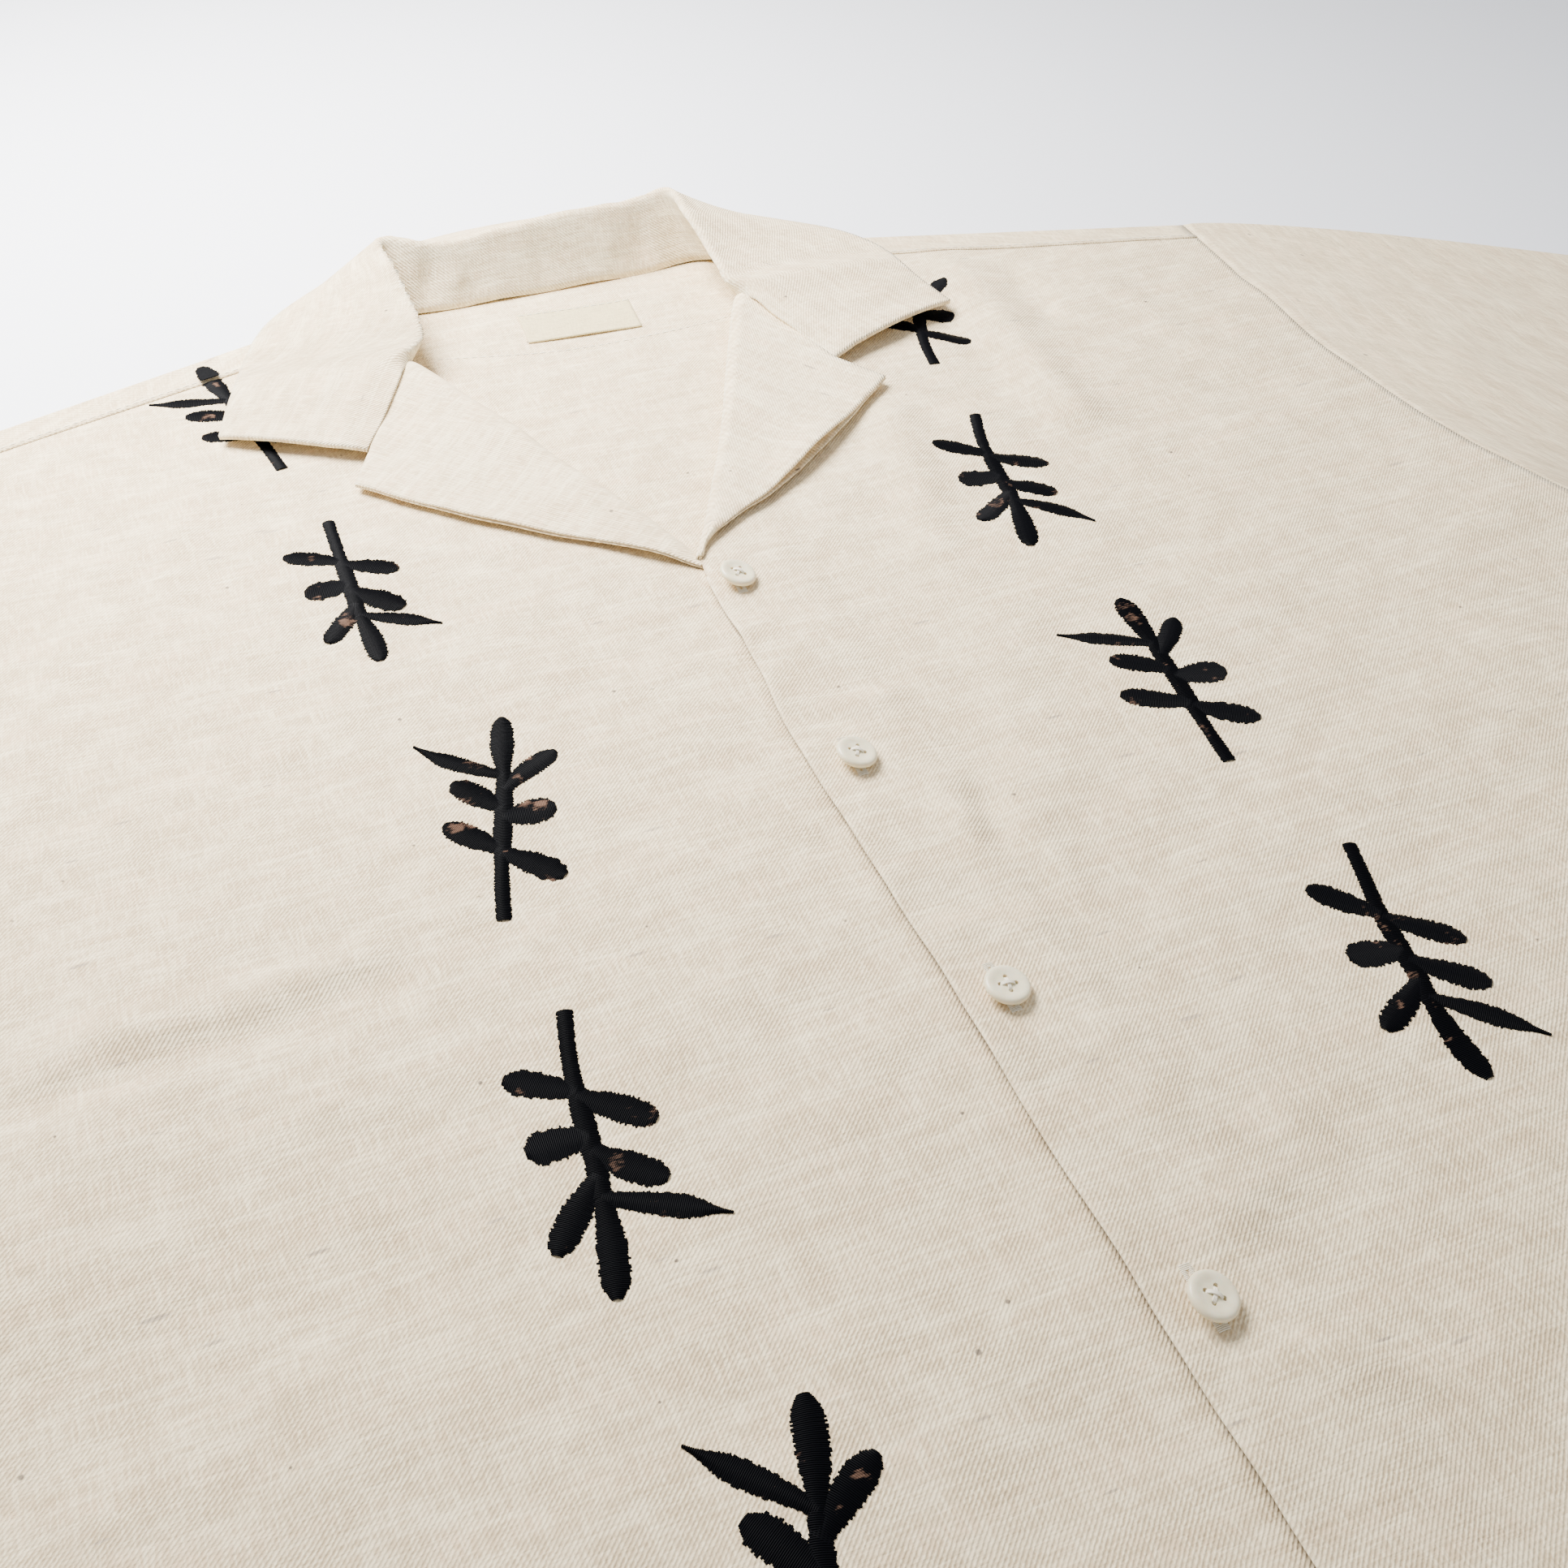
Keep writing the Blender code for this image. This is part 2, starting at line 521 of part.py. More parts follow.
def make_button(number, material):
    x, tilt_x, tilt_y = BUTTONS[number]
    y = -number * BUTTON_SPACING
    data = bpy.data.meshes.new("button_profile")
    points = [(radius, 0, height) for radius, height in BUTTON_PROFILE]
    data.from_pydata(points, [(i, i + 1) for i in range(len(points) - 1)], [])
    button = bpy.data.objects.new("button_%d" % (number + 1), data)
    data.materials.append(material)
    turn = button.modifiers.new("turned", "SCREW")
    turn.steps = BUTTON_STEPS
    turn.render_steps = BUTTON_STEPS
    turn.use_merge_vertices = True
    turn.merge_threshold = 0.00005
    turn.use_smooth_shade = True
    shirt.objects.link(button)
    rise = BUTTON_RADIUS * math.sin(math.radians(abs(tilt_x) + abs(tilt_y)))
    button.location = level((x, y, front_z("right", x, y) + CLOTH / 2 + SEAM_GAP + rise))
    button.rotation_euler = (math.radians(tilt_x), math.radians(tilt_y), 0)
    return button


cloth = finish("natural cloth", (0.80, 0.75, 0.67), 0.9)
facing_cloth = finish("natural cloth, facing", (0.80, 0.75, 0.67), 0.9)
label_cloth = finish("label cloth", (0.86, 0.81, 0.70), 0.8)
ivory = finish("ivory button", (0.86, 0.82, 0.72), 0.3)

make_back(cloth)
for side in ("right", "left"):
    make_front(side, cloth)
    make_facing(side, facing_cloth)
    make_sleeve(side, cloth)
make_collar(cloth)
make_label(label_cloth)
for index in range(len(BUTTONS)):
    make_button(index, ivory)
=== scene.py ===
# A casual short-sleeved shirt with an open camp collar, buttoned up and laid flat with its front up.
# Metres, +Z up. +Y runs from the hem to the collar, and Y in the tables is counted from the top button.
import math

import bmesh
import bpy
import numpy as np
from mathutils import Euler, Matrix, Vector


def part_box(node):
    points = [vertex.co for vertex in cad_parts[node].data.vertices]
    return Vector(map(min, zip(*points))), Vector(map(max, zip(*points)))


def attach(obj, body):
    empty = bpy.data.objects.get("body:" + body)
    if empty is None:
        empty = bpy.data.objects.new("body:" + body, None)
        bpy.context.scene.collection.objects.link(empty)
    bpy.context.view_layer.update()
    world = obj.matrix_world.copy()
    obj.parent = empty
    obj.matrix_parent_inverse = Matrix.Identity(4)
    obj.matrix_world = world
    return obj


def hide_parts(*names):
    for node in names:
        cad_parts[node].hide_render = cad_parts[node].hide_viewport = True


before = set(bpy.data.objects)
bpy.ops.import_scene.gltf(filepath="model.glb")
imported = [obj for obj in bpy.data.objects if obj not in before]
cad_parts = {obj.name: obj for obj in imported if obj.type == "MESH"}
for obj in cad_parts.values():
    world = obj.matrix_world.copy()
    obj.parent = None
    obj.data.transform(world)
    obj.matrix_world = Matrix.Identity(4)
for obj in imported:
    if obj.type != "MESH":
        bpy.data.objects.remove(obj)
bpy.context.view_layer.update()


# The table, the window light and the camera.
# A plain white top under one broad soft light from the upper left and a paler one from the right.
TOP_BUTTON_Y = 0.125
CAMERA_PLACE = (-0.1476, TOP_BUTTON_Y - 0.3972, 0.318)
CAMERA_DOWN = math.radians(43.188)
CAMERA_HEADING = math.radians(-22.339)
LENS = 39.15


def put(name, data):
    """A new object in the scene, at the origin."""
    made = bpy.data.objects.new(name, data)
    bpy.context.scene.collection.objects.link(made)
    return made


lens = bpy.data.cameras.new("camera")
lens.lens = LENS
lens.clip_start = 0.01
camera = put("camera", lens)
camera.location = CAMERA_PLACE
camera.rotation_euler = (math.pi / 2 - CAMERA_DOWN, 0, CAMERA_HEADING)
bpy.context.scene.camera = camera

sky = bpy.data.worlds.new("studio")
sky.use_nodes = True
sky.node_tree.nodes["Background"].inputs["Color"].default_value = (0.93, 0.96, 1.0, 1)
sky.node_tree.nodes["Background"].inputs["Strength"].default_value = 0.74
bpy.context.scene.world = sky


def soft_light(name, place, aim, size, watts, colour, spread):
    light = bpy.data.lights.new(name, "AREA")
    light.shape = "DISK"
    light.size = size
    light.spread = math.radians(spread)
    light.energy = watts
    light.color = colour
    lamp = put(name, light)
    lamp.location = place
    direction = np.array(aim, float) - np.array(place, float)
    flat = math.hypot(direction[0], direction[1])
    lamp.rotation_euler = (math.pi / 2 + math.atan2(direction[2], flat), 0,
                           math.atan2(direction[1], direction[0]) - math.pi / 2)


for lamp in (
    # name, place, what it points at, width, watts, colour, spread in degrees
    ("window", (-0.26, 0.54, 0.60), (-0.14, 0.42, 0.0), 0.50, 18.0, (1.0, 0.985, 0.955), 120),
    ("fill", (1.3, -0.3, 1.1), (0.1, 0.0, 0.0), 1.2, 2.5, (0.96, 0.98, 1.0), 180),
):
    soft_light(*lamp)


def plain(name, colour, roughness):
    material = bpy.data.materials.new(name)
    material.use_nodes = True
    shader = material.node_tree.nodes["Principled BSDF"]
    shader.inputs["Base Color"].default_value = (*colour, 1)
    shader.inputs["Roughness"].default_value = roughness
    return material


TABLE_HALF = 4
TABLE_Z = -0.0002
top = bpy.data.meshes.new("table_top")
corners = ((-1, -1), (1, -1), (1, 1), (-1, 1))
top.from_pydata([(x * TABLE_HALF, y * TABLE_HALF, TABLE_Z) for x, y in corners], [], [(0, 1, 2, 3)])
top.materials.append(plain("white table", (0.74, 0.75, 0.80), 0.55))
put("table_top", top)


# The back: one panel of undyed linen and cotton, cut with the yoke that comes over the shoulders.
# It lies flat on the table with everything else on it, and shows inside the neck.
MM = 0.001                     # for the tables in millimetres
CLOTH = 0.0006                 # real ply of cloth
PLY_STEP = 0.0016              # rise from one ply to the next that lies on it
FOLD_RADIUS = 0.0015
RESTING_Z = 0.0025
LOWEST_Z = RESTING_Z - 0.0003  # the upper layer never sinks below this
BACK_Z = 0.0006                # middle of the back's wall over the table
HEM_Y = -0.525
HEM_HALF_WIDTH = 0.290
CHEST_HALF_WIDTH = 0.300
UNDERARM_Y = -0.097
NECK_POINT = (0.078, 0.2185)
SHOULDER_POINT = (0.2605, 0.1617)
YOKE_TURN = (0.0178, 0.0120)
BACK_NECK_Y = 0.2133
BACK_NECK_CURVE = 8
SEAM_GAP = 0.00035
ARMHOLE = ((0.300, -0.097), (0.2775, -0.066), (0.2620, -0.016), (0.2555, 0.050), (0.2575, 0.115),
           (0.2605, 0.1617))
AIR = 0.0010
LYING_EDGE = 0.060
SIDE_BULGE = 0.004
SETTLE_START = 0.015           # how far from the shoulder's fold the layer starts to settle
SETTLE_LENGTH = 0.050
BACK_WAVE = 0.0005             # of the back inside the neck
BACK_WAVE_Y = 0.03             # where it starts
BACK_WAVE_FADE = 0.03
YOKE_SEAM_LIFT = 0.0004        # the yoke's edge has its seam turned in under it
BACK_ROWS = 150
BACK_COLUMNS = 121
NECK_COLUMNS = 33
YOKE_ROWS = 7
TURNED_SHADE_FULL = 0.35            # upward part of the normal at which cloth is turned fully aside and takes the painted shade tint in full
TURNED_SHADE_RANGE = 0.45            # how much more of it flat cloth has, which takes none of it

# Soft folds of the layer that lies on top: ends, half width and height, with a trough below zero.
FOLDS = MM * np.array((
    # x0, y0, x1, y1, half width, height
    (158, 180, 146, 50, 10, 3.4), (86, 70, 66, -4, 9, 2.6), (62, -60, 40, -120, 12, 1.4),
    (-136, -117, -215, -122, 5.5, -2.2), (-140, -106, -212, -110, 6, 1.6),
    (-150, -190, -250, -206, 14, -1.6), (-60, 120, -40, 96, 9, 1), (200, -120, 275, -230, 20, 2.6),
    (-190, -110, -276, -200, 20, 2.6), (120, -300, 210, -420, 22, 2), (-130, -330, -230, -470, 24, 2.4),
    (60, -400, 90, -510, 18, 1.8), (272, 90, 400, 10, 16, 2), (290, 20, 372, -80, 18, 2.4),
    (-272, 90, -400, 10, 16, 1.8), (-290, 30, -380, -70, 18, 2.6),
))
# Small creases in the same layer, with pulls at the buttons and along the front edge.
CREASES = MM * np.array((
    # x0, y0, x1, y1, half width, height
    (12, -12, 34, -4, 4, 0.8), (10, 10, 22, 30, 3.5, -0.6), (-16, -30, 4, -22, 3.5, 0.8),
    (6, -70, 32, -62, 4, 0.9), (10, -100, 40, -112, 4.5, 0.9), (-18, -88, -50, -92, 5, 0.6),
    (10, -160, 30, -150, 4, 0.8), (8, -190, 44, -204, 5, 1), (-20, -180, -48, -172, 5, 0.6),
    (10, -250, 36, -240, 5, 0.9), (6, -276, 30, -292, 5, 0.9), (178, 168, 172, 110, 5.5, -2),
    (139, 150, 131, 70, 6, -1.8), (205, 150, 214, 60, 8, 1.2), (-148, 120, -168, 40, 8, 1.4),
    (-180, 80, -215, -20, 9, 1.2), (-86, -4, -60, -30, 7, 0.8), (150, 0, 190, -60, 9, 1),
    (-40, -130, -75, -160, 8, 0.8), (60, -190, 130, -230, 9, 0.9), (-60, -230, -110, -290, 9, 0.9),
    (230, -40, 285, -70, 9, 1.4), (-236, -40, -286, -72, 9, 1.4), (180, -330, 260, -360, 10, 1.2),
    (-180, -300, -265, -330, 11, 1.2), (300, 110, 380, 60, 7, 1.2), (330, -10, 395, -50, 8, 1.2),
    (-300, 112, -380, 66, 7, 1.2), (-320, -20, -390, -60, 8, 1.4), (4, -54, 24, -62, 5.5, -0.9),
    (20, -48, 52, -66, 6, 0.9), (30, -78, 36, -108, 6, -1), (-4, -142, 20, -150, 5, -0.8),
    (24, -172, 40, -196, 7, -0.9), (-50, -60, -26, -74, 7, 0.8), (-72, 60, -50, 30, 8, 0.9),
    (110, 72, 120, 36, 7, 1), (196, 60, 224, 30, 8, -1), (-190, -150, -120, -146, 9, 0.9),
    (-5, -66, 7, -74, 3.2, -1.4), (-4, -59, 9, -66, 3.2, 1.2), (19, -49, 31, -63, 4.5, -1.5),
    (28, -106, 25, -130, 4.2, -1.8), (18, -110, 16, -130, 3.8, 1.5), (21, -125, 24, -136, 3.5, -1.2),
    (33, -128, 34, -150, 4.5, 1.4), (25, -142, 26, -156, 4, -1.3), (31, -166, 37, -182, 2.4, 1),
    (-4, -158, 1, -163, 3, -1.2), (-3, -150, 7, -156, 2.8, 1), (-20, -106, -16, -120, 3.6, -1.4),
    (-46, -63, -20, -83, 5, -1.3), (-6, -103, -1, -112, 3, 1.1), (12, -226, 30, -238, 3.8, -1.2),
    (40, -214, 46, -244, 4.5, 1.2), (-26, -220, -22, -250, 4.5, -1.2),
))
RIPPLES = 18
RIPPLE_HEIGHT = 0.00024


def level(points):
    """Moves points from the top button's Y to the origin's."""
    moved = np.array(points, float)
    moved[..., 1] += TOP_BUTTON_Y
    return moved


def smooth_line(points, count=None, steps=12):
    """A smooth curve through the points, resampled evenly when a count is given."""
    knots = np.array(points, float)
    padded = np.vstack([2 * knots[0] - knots[1], knots, 2 * knots[-1] - knots[-2]])
    t = np.linspace(0, 1, steps, endpoint=False)[:, None]
    parts = []
    for i in range(len(knots) - 1):
        a, b, c, d = padded[i:i + 4]
        parts.append(0.5 * (2 * b + (c - a) * t + (2 * a - 5 * b + 4 * c - d) * t ** 2
                            + (3 * b - a - 3 * c + d) * t ** 3))
    dense = np.vstack(parts + [knots[-1:]])
    if count is None:
        return dense
    run = np.concatenate([[0], np.cumsum(np.linalg.norm(np.diff(dense, axis=0), axis=1))])
    even = np.linspace(0, run[-1], count)
    return np.stack([np.interp(even, run, dense[:, k]) for k in range(dense.shape[1])], axis=1)


def ease(x):
    """Smooth step from 0 to 1."""
    x = np.clip(x, 0.0, 1.0)
    return x * x * (3 - 2 * x)


def mix(a, b, t):
    return a + (b - a) * t


def raised(flat, z):
    """Points in the plane with their heights."""
    return np.concatenate([flat, z[..., None]], -1)


def unit(vectors):
    return vectors / np.linalg.norm(vectors, axis=-1, keepdims=True)


armhole_line = smooth_line(ARMHOLE, 120)
YOKE_END_Y = SHOULDER_POINT[1] - YOKE_TURN[1]


def armhole_x(y):
    return np.interp(y, armhole_line[:, 1], armhole_line[:, 0])


def side_x(y):
    """Half width of the body: its side seam below the underarm and its armhole above."""
    below = mix(HEM_HALF_WIDTH, CHEST_HALF_WIDTH, (y - HEM_Y) / (UNDERARM_Y - HEM_Y))
    return np.where(np.asarray(y) > UNDERARM_Y, armhole_x(y), below)


def shoulder_y(x):
    slope = (SHOULDER_POINT[1] - NECK_POINT[1]) / (SHOULDER_POINT[0] - NECK_POINT[0])
    return NECK_POINT[1] + slope * (np.abs(x) - NECK_POINT[0])


def ridges(table, x, y, tapered=False):
    """Height that a table of folds adds at each point; a small crease dies away at both ends."""
    total = np.zeros(np.shape(x))
    for x0, y0, x1, y1, half_width, height in table:
        dx, dy = x1 - x0, y1 - y0
        t = ((x - x0) * dx + (y - y0) * dy) / (dx * dx + dy * dy)
        nearest = np.clip(t, 0, 1)
        away = np.hypot(x - x0 - nearest * dx, y - y0 - nearest * dy)
        strength = np.exp(-(away / half_width) ** 2)
        if tapered:
            strength = strength * (0.35 + 0.65 * np.sin(math.pi * nearest))
        total = total + height * strength
    return total


ripple_seed = np.random.RandomState(11)
ripple_waves = [(ripple_seed.uniform(0, 2 * math.pi), ripple_seed.uniform(0.018, 0.075),
                 ripple_seed.uniform(0, 2 * math.pi)) for _ in range(RIPPLES)]


def ripple(x, y):
    """Slight unevenness that cloth keeps after it is pressed."""
    total = np.zeros(np.shape(x))
    for heading, length, phase in ripple_waves:
        along = (x * math.cos(heading) + y * math.sin(heading)) * 2 * math.pi / length
        total = total + np.sin(along + phase) * (length / 0.045)
    return total * RIPPLE_HEIGHT / math.sqrt(RIPPLES) * 2


def softness(x, y, mirror=1):
    """Air, folds, creases and unevenness of a layer that lies loose."""
    creased = ridges(CREASES, mirror * x, y, tapered=True)
    return AIR + ridges(FOLDS, mirror * x, y) + creased + ripple(x, y)


def upper_z(x, y):
    """Middle of the upper layer's wall over the back."""
    x, y = np.asarray(x, float), np.asarray(y, float)
    to_shoulder = shoulder_y(x) - y
    inside = ease((y - HEM_Y) / LYING_EDGE) * ease(to_shoulder / LYING_EDGE)
    from_side = ease((CHEST_HALF_WIDTH + SIDE_BULGE - np.abs(x)) / LYING_EDGE)
    inside = inside * np.where(y < UNDERARM_Y, from_side, 1)
    settled = ease((to_shoulder - SETTLE_START) / SETTLE_LENGTH)
    base = mix(BACK_Z + 2 * FOLD_RADIUS, RESTING_Z, settled)
    return np.maximum(base + softness(x, y) * inside, LOWEST_Z)


def cloth_mesh(name, points, uv, wall, material, wrap=False, shaded=None):
    """One wall of cloth from a grid of points, without those that are not a number."""
    rows, columns = points.shape[:2]
    there = ~np.isnan(points[..., 0])
    index = np.full((rows, columns), -1)
    index[there] = np.arange(there.sum())
    span = columns if wrap else columns - 1
    j, i = np.meshgrid(np.arange(rows - 1), np.arange(span), indexing="ij")
    k = (i + 1) % columns
    quads = np.stack([index[j, i], index[j, k], index[j + 1, k], index[j + 1, i]], axis=-1).reshape(-1, 4)
    corners = np.stack([uv[j, i], uv[j, i + 1], uv[j + 1, i + 1], uv[j + 1, i]], axis=-2).reshape(-1, 4, 2)
    kept = (quads >= 0).all(axis=1)
    data = bpy.data.meshes.new(name)
    data.from_pydata(points[there].tolist(), [], quads[kept].tolist())
    layer = data.uv_layers.new(name="cloth")
    layer.data.foreach_set("uv", corners[kept].reshape(-1))
    # An optional attribute that paints shade into the cloth's colour.
    if shaded is not None:
        data.attributes.new("shaded", "FLOAT", "POINT").data.foreach_set("value", shaded[there])
    data.shade_smooth()
    data.materials.append(material)
    piece = put(name, data)
    solid = piece.modifiers.new("wall", "SOLIDIFY")
    solid.thickness = wall
    solid.offset = 0.0
    solid.use_quality_normals = True
    settle(piece)
    # From the normals, how far the cloth turns aside or down, which the material uses for a painted shade
    # tint.
    facing = np.zeros(len(piece.data.vertices) * 3)
    piece.data.vertex_normals.foreach_get("vector", facing)
    turned = 1 - ease((facing[2::3] - TURNED_SHADE_FULL) / TURNED_SHADE_RANGE)
    piece.data.attributes.new("turned", "FLOAT", "POINT").data.foreach_set("value", turned)
    return piece


def settle(piece):
    """Turns a piece with its modifiers into a plain mesh."""
    bpy.context.view_layer.update()
    seen = piece.evaluated_get(bpy.context.evaluated_depsgraph_get())
    data = bpy.data.meshes.new_from_object(seen)
    piece.modifiers.clear()
    old = piece.data
    piece.data = data
    data.name = piece.name
    if old.users == 0 and isinstance(old, bpy.types.Mesh):
        bpy.data.meshes.remove(old)
    return piece


def add_node(tree, kind, inputs=None, **settings):
    """A node with its settings. Each input is a value or the output of another node."""
    made = tree.nodes.new(kind)
    for key, value in settings.items():
        setattr(made, key, value)
    for socket, value in (inputs or {}).items():
        if isinstance(value, bpy.types.NodeSocket):
            tree.links.new(value, made.inputs[socket])
        else:
            made.inputs[socket].default_value = value
    return made


TWILL_SCALE = 349              # 0.9 mm from one diagonal to the next
TWILL_TURN = math.radians(45)


def woven(name, colour, shade, streak=1.0, twill_depth=0.95):
    """Undyed linen and cotton twill: a fine diagonal, thick and thin weft, and a few dark specks, with a
    painted shade tint where the cloth turns aside and painted shade in the crevice under the front's edge.
    """
    material = plain(name, colour, 0.86)
    tree = material.node_tree
    shader = tree.nodes["Principled BSDF"]
    for socket, value in (("Specular IOR Level", 0.25), ("Sheen Weight", 0.12), ("Sheen Roughness", 0.5)):
        shader.inputs[socket].default_value = value
    place = add_node(tree, "ShaderNodeUVMap", uv_map="cloth").outputs["UV"]

    def stretched(scale=(1, 1, 1), turn=0.0):
        inputs = {"Vector": place, "Scale": scale, "Rotation": (0, 0, turn)}
        return add_node(tree, "ShaderNodeMapping", inputs).outputs["Vector"]

    def spread(value, low, high, to_low=0.0, to_high=1.0):
        inputs = {"Value": value, "From Min": low, "From Max": high, "To Min": to_low, "To Max": to_high}
        return add_node(tree, "ShaderNodeMapRange", inputs).outputs["Result"]

    def blend(amount, a, b, way="MIX"):
        a, b = [(*value, 1) if isinstance(value, tuple) else value for value in (a, b)]
        inputs = {"Factor": amount, "A": a, "B": b}
        return add_node(tree, "ShaderNodeMix", inputs, data_type="RGBA", blend_type=way).outputs["Result"]

    def arithmetic(operation, a, b):
        return add_node(tree, "ShaderNodeMath", {0: a, 1: b}, operation=operation).outputs["Value"]

    def scattered(scale, share, size, turn):
        """Dots or short fibres, one in some of the cells of a loose grid."""
        inputs = {"Vector": stretched(scale, turn), "Scale": 1.0}
        cells = add_node(tree, "ShaderNodeTexVoronoi", inputs, feature="F1")
        drawn = add_node(tree, "ShaderNodeSeparateColor", {"Color": cells.outputs["Color"]})
        chosen = spread(drawn.outputs["Red"], 1 - share, 1 - share + 0.04)
        reach = spread(drawn.outputs["Green"], 0.0, 1.0, size * 0.35, size)
        near = spread(arithmetic("DIVIDE", cells.outputs["Distance"], reach), 1.0, 0.6)
        return arithmetic("MULTIPLY", near, chosen)

    noise = {}
    for kind, scale, detail, turn, roughness in (
        # what it makes, scale along and up the cloth, detail, turn, roughness
        ("weft", (120, 1500, 1), 3.0, 0.0, 0.5),
        ("warp", (1500, 190, 1), 2.0, 0.0, 0.5),
        ("cloud", (16, 30, 1), 3.0, 0.0, 0.5),
        ("blotch", (58, 105, 1), 3.0, 0.4, 0.5),
        ("patchy", (95, 95, 1), 3.0, 0.0, 0.5),
        ("slubs", (34, 360, 1), 4.0, 0.02, 0.6),
        ("lines", (70, 760, 1), 3.0, -0.02, 0.6),
        ("upright", (640, 60, 1), 3.0, 0.03, 0.6),
        ("rosy", (24, 130, 1), 3.0, -0.03, 0.5),
        ("pepper", (1100, 1100, 1), 1.0, 0.0, 0.5),
    ):
        inputs = {"Vector": stretched(scale, turn), "Scale": 1.0, "Detail": detail, "Roughness": roughness}
        noise[kind] = add_node(tree, "ShaderNodeTexNoise", inputs).outputs["Fac"]
    inputs = {"Vector": stretched(turn=TWILL_TURN), "Scale": TWILL_SCALE, "Distortion": 1.1, "Detail": 1.0,
              "Detail Scale": 1.6}
    diagonal = add_node(tree, "ShaderNodeTexWave", inputs, wave_type="BANDS", bands_direction="X")
    twill = diagonal.outputs["Fac"]

    def tint(factors):
        return tuple(min(c * f, 1.0) for c, f in zip(colour, factors))

    base = blend(spread(noise["cloud"], 0.36, 0.64), shade, colour)
    for kind, low, high, most, factors in (
        # noise, where it starts and is full, how strong it is, what it does to the colour
        ("blotch", 0.50, 0.64, 0.60 * streak, (0.86, 0.80, 0.75)),
        ("rosy", 0.47, 0.60, 0.90 * streak, (0.93, 0.83, 0.78)),
        ("slubs", 0.50, 0.62, 0.85 * streak, (0.72, 0.65, 0.58)),
        ("slubs", 0.46, 0.34, 0.90 * streak, (1.14, 1.14, 1.13)),
        ("lines", 0.50, 0.64, 0.75 * streak, (0.68, 0.62, 0.56)),
        ("upright", 0.50, 0.64, 0.60 * streak, (1.14, 1.14, 1.14)),
        ("weft", 0.46, 0.64, 0.80, (0.70, 0.66, 0.61)),
        ("warp", 0.46, 0.66, 0.65, (1.14, 1.14, 1.14)),
    ):
        base = blend(spread(noise[kind], low, high, 0.0, most), base, tint(factors))
    worn = arithmetic("MULTIPLY", spread(noise["patchy"], 0.38, 0.60, 0.30, 1.0),
                      spread(noise["pepper"], 0.34, 0.58, 0.45, 1.0))
    between = arithmetic("MULTIPLY", spread(twill, 0.15, 0.85, twill_depth, 0.0), worn)
    base = blend(between, base, tint((0.54, 0.48, 0.42)))
    for scale, share, size, turn, strength, speck in (
        # scale along and up the cloth, share of cells, size in them, turn, strength, colour
        ((85, 85, 1), 0.42, 0.075, 0.0, 0.75 * streak + 0.1, (0.13, 0.10, 0.08)),
        ((30, 170, 1), 0.40, 0.12, 0.18, 0.75 * streak, (0.34, 0.27, 0.21)),
        ((32, 160, 1), 0.30, 0.13, -0.45, 0.6 * streak, (0.36, 0.29, 0.23)),
    ):
        base = blend(arithmetic("MULTIPLY", scattered(scale, share, size, turn), strength), base, speck)
    # Painted shade tint: cloth that turns aside or down is made bluer and greyer, standing in for the shade
    # under lapels, collar and folds.
    turned = add_node(tree, "ShaderNodeAttribute", attribute_name="turned").outputs["Fac"]
    base = blend(turned, base, (1.06, 1.16, 1.30), "MULTIPLY")
    # Painted shade: where this attribute is set, the cloth is blended towards dark brown, in the crevice
    # under the upper front's edge and on its turned-in ply.
    shaded = add_node(tree, "ShaderNodeAttribute", attribute_name="shaded").outputs["Fac"]
    base = blend(shaded, base, (0.16, 0.125, 0.095))
    tree.links.new(base, shader.inputs["Base Color"])

    height = arithmetic("MULTIPLY", twill, 0.9)
    for kind, strength in (("weft", 0.9), ("slubs", 0.9), ("pepper", 0.4)):
        height = arithmetic("ADD", height, arithmetic("MULTIPLY", noise[kind], strength))
    bump = add_node(tree, "ShaderNodeBump", {"Height": height, "Strength": 0.8, "Distance": 0.0002})
    tree.links.new(bump.outputs["Normal"], shader.inputs["Normal"])
    return material


NATURAL = (0.885, 0.742, 0.500)
NATURAL_SHADE = (0.835, 0.690, 0.455)
natural_cloth = woven("natural cloth", NATURAL, NATURAL_SHADE)
facing_cloth = woven("natural cloth, facing", NATURAL, NATURAL_SHADE, 1.0, 0.5)


def dress(piece, node):
    """Attaches a piece to the shirt's root body and hides the solid that it stands for."""
    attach(piece, "root")
    if node:
        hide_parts(node)


def run_along(points, axis):
    """Distance along the grid from its first row or column."""
    step = np.linalg.norm(np.diff(points, axis=axis), axis=2)
    step = np.nan_to_num(step)
    zero = np.zeros_like(np.take(step, [0], axis=axis))
    return np.cumsum(np.concatenate([zero, step], axis=axis), axis=axis)


def yoke_seam(t):
    """Seam between the turned-over back and the front, from the neck (0) to the armhole (1)."""
    start = np.array((NECK_POINT[0] - 0.0025, NECK_POINT[1] - YOKE_TURN[0]))
    end = np.array((armhole_x(YOKE_END_Y), YOKE_END_Y))
    return mix(start, end, np.asarray(t)[..., None])


def inside_back_z(x, y):
    """The back lies flat on the table, but is a little wavy where it shows inside the neck."""
    wave = BACK_WAVE * (1 + np.sin(x * 60 + y * 25) * np.cos(y * 70 - x * 20))
    shown = ease((NECK_POINT[0] + 0.01 - np.abs(x)) / BACK_WAVE_FADE)
    shown = shown * ease((y - BACK_WAVE_Y) / BACK_WAVE_FADE)
    return BACK_Z + wave * shown * ease((BACK_NECK_Y - y) / BACK_WAVE_FADE)


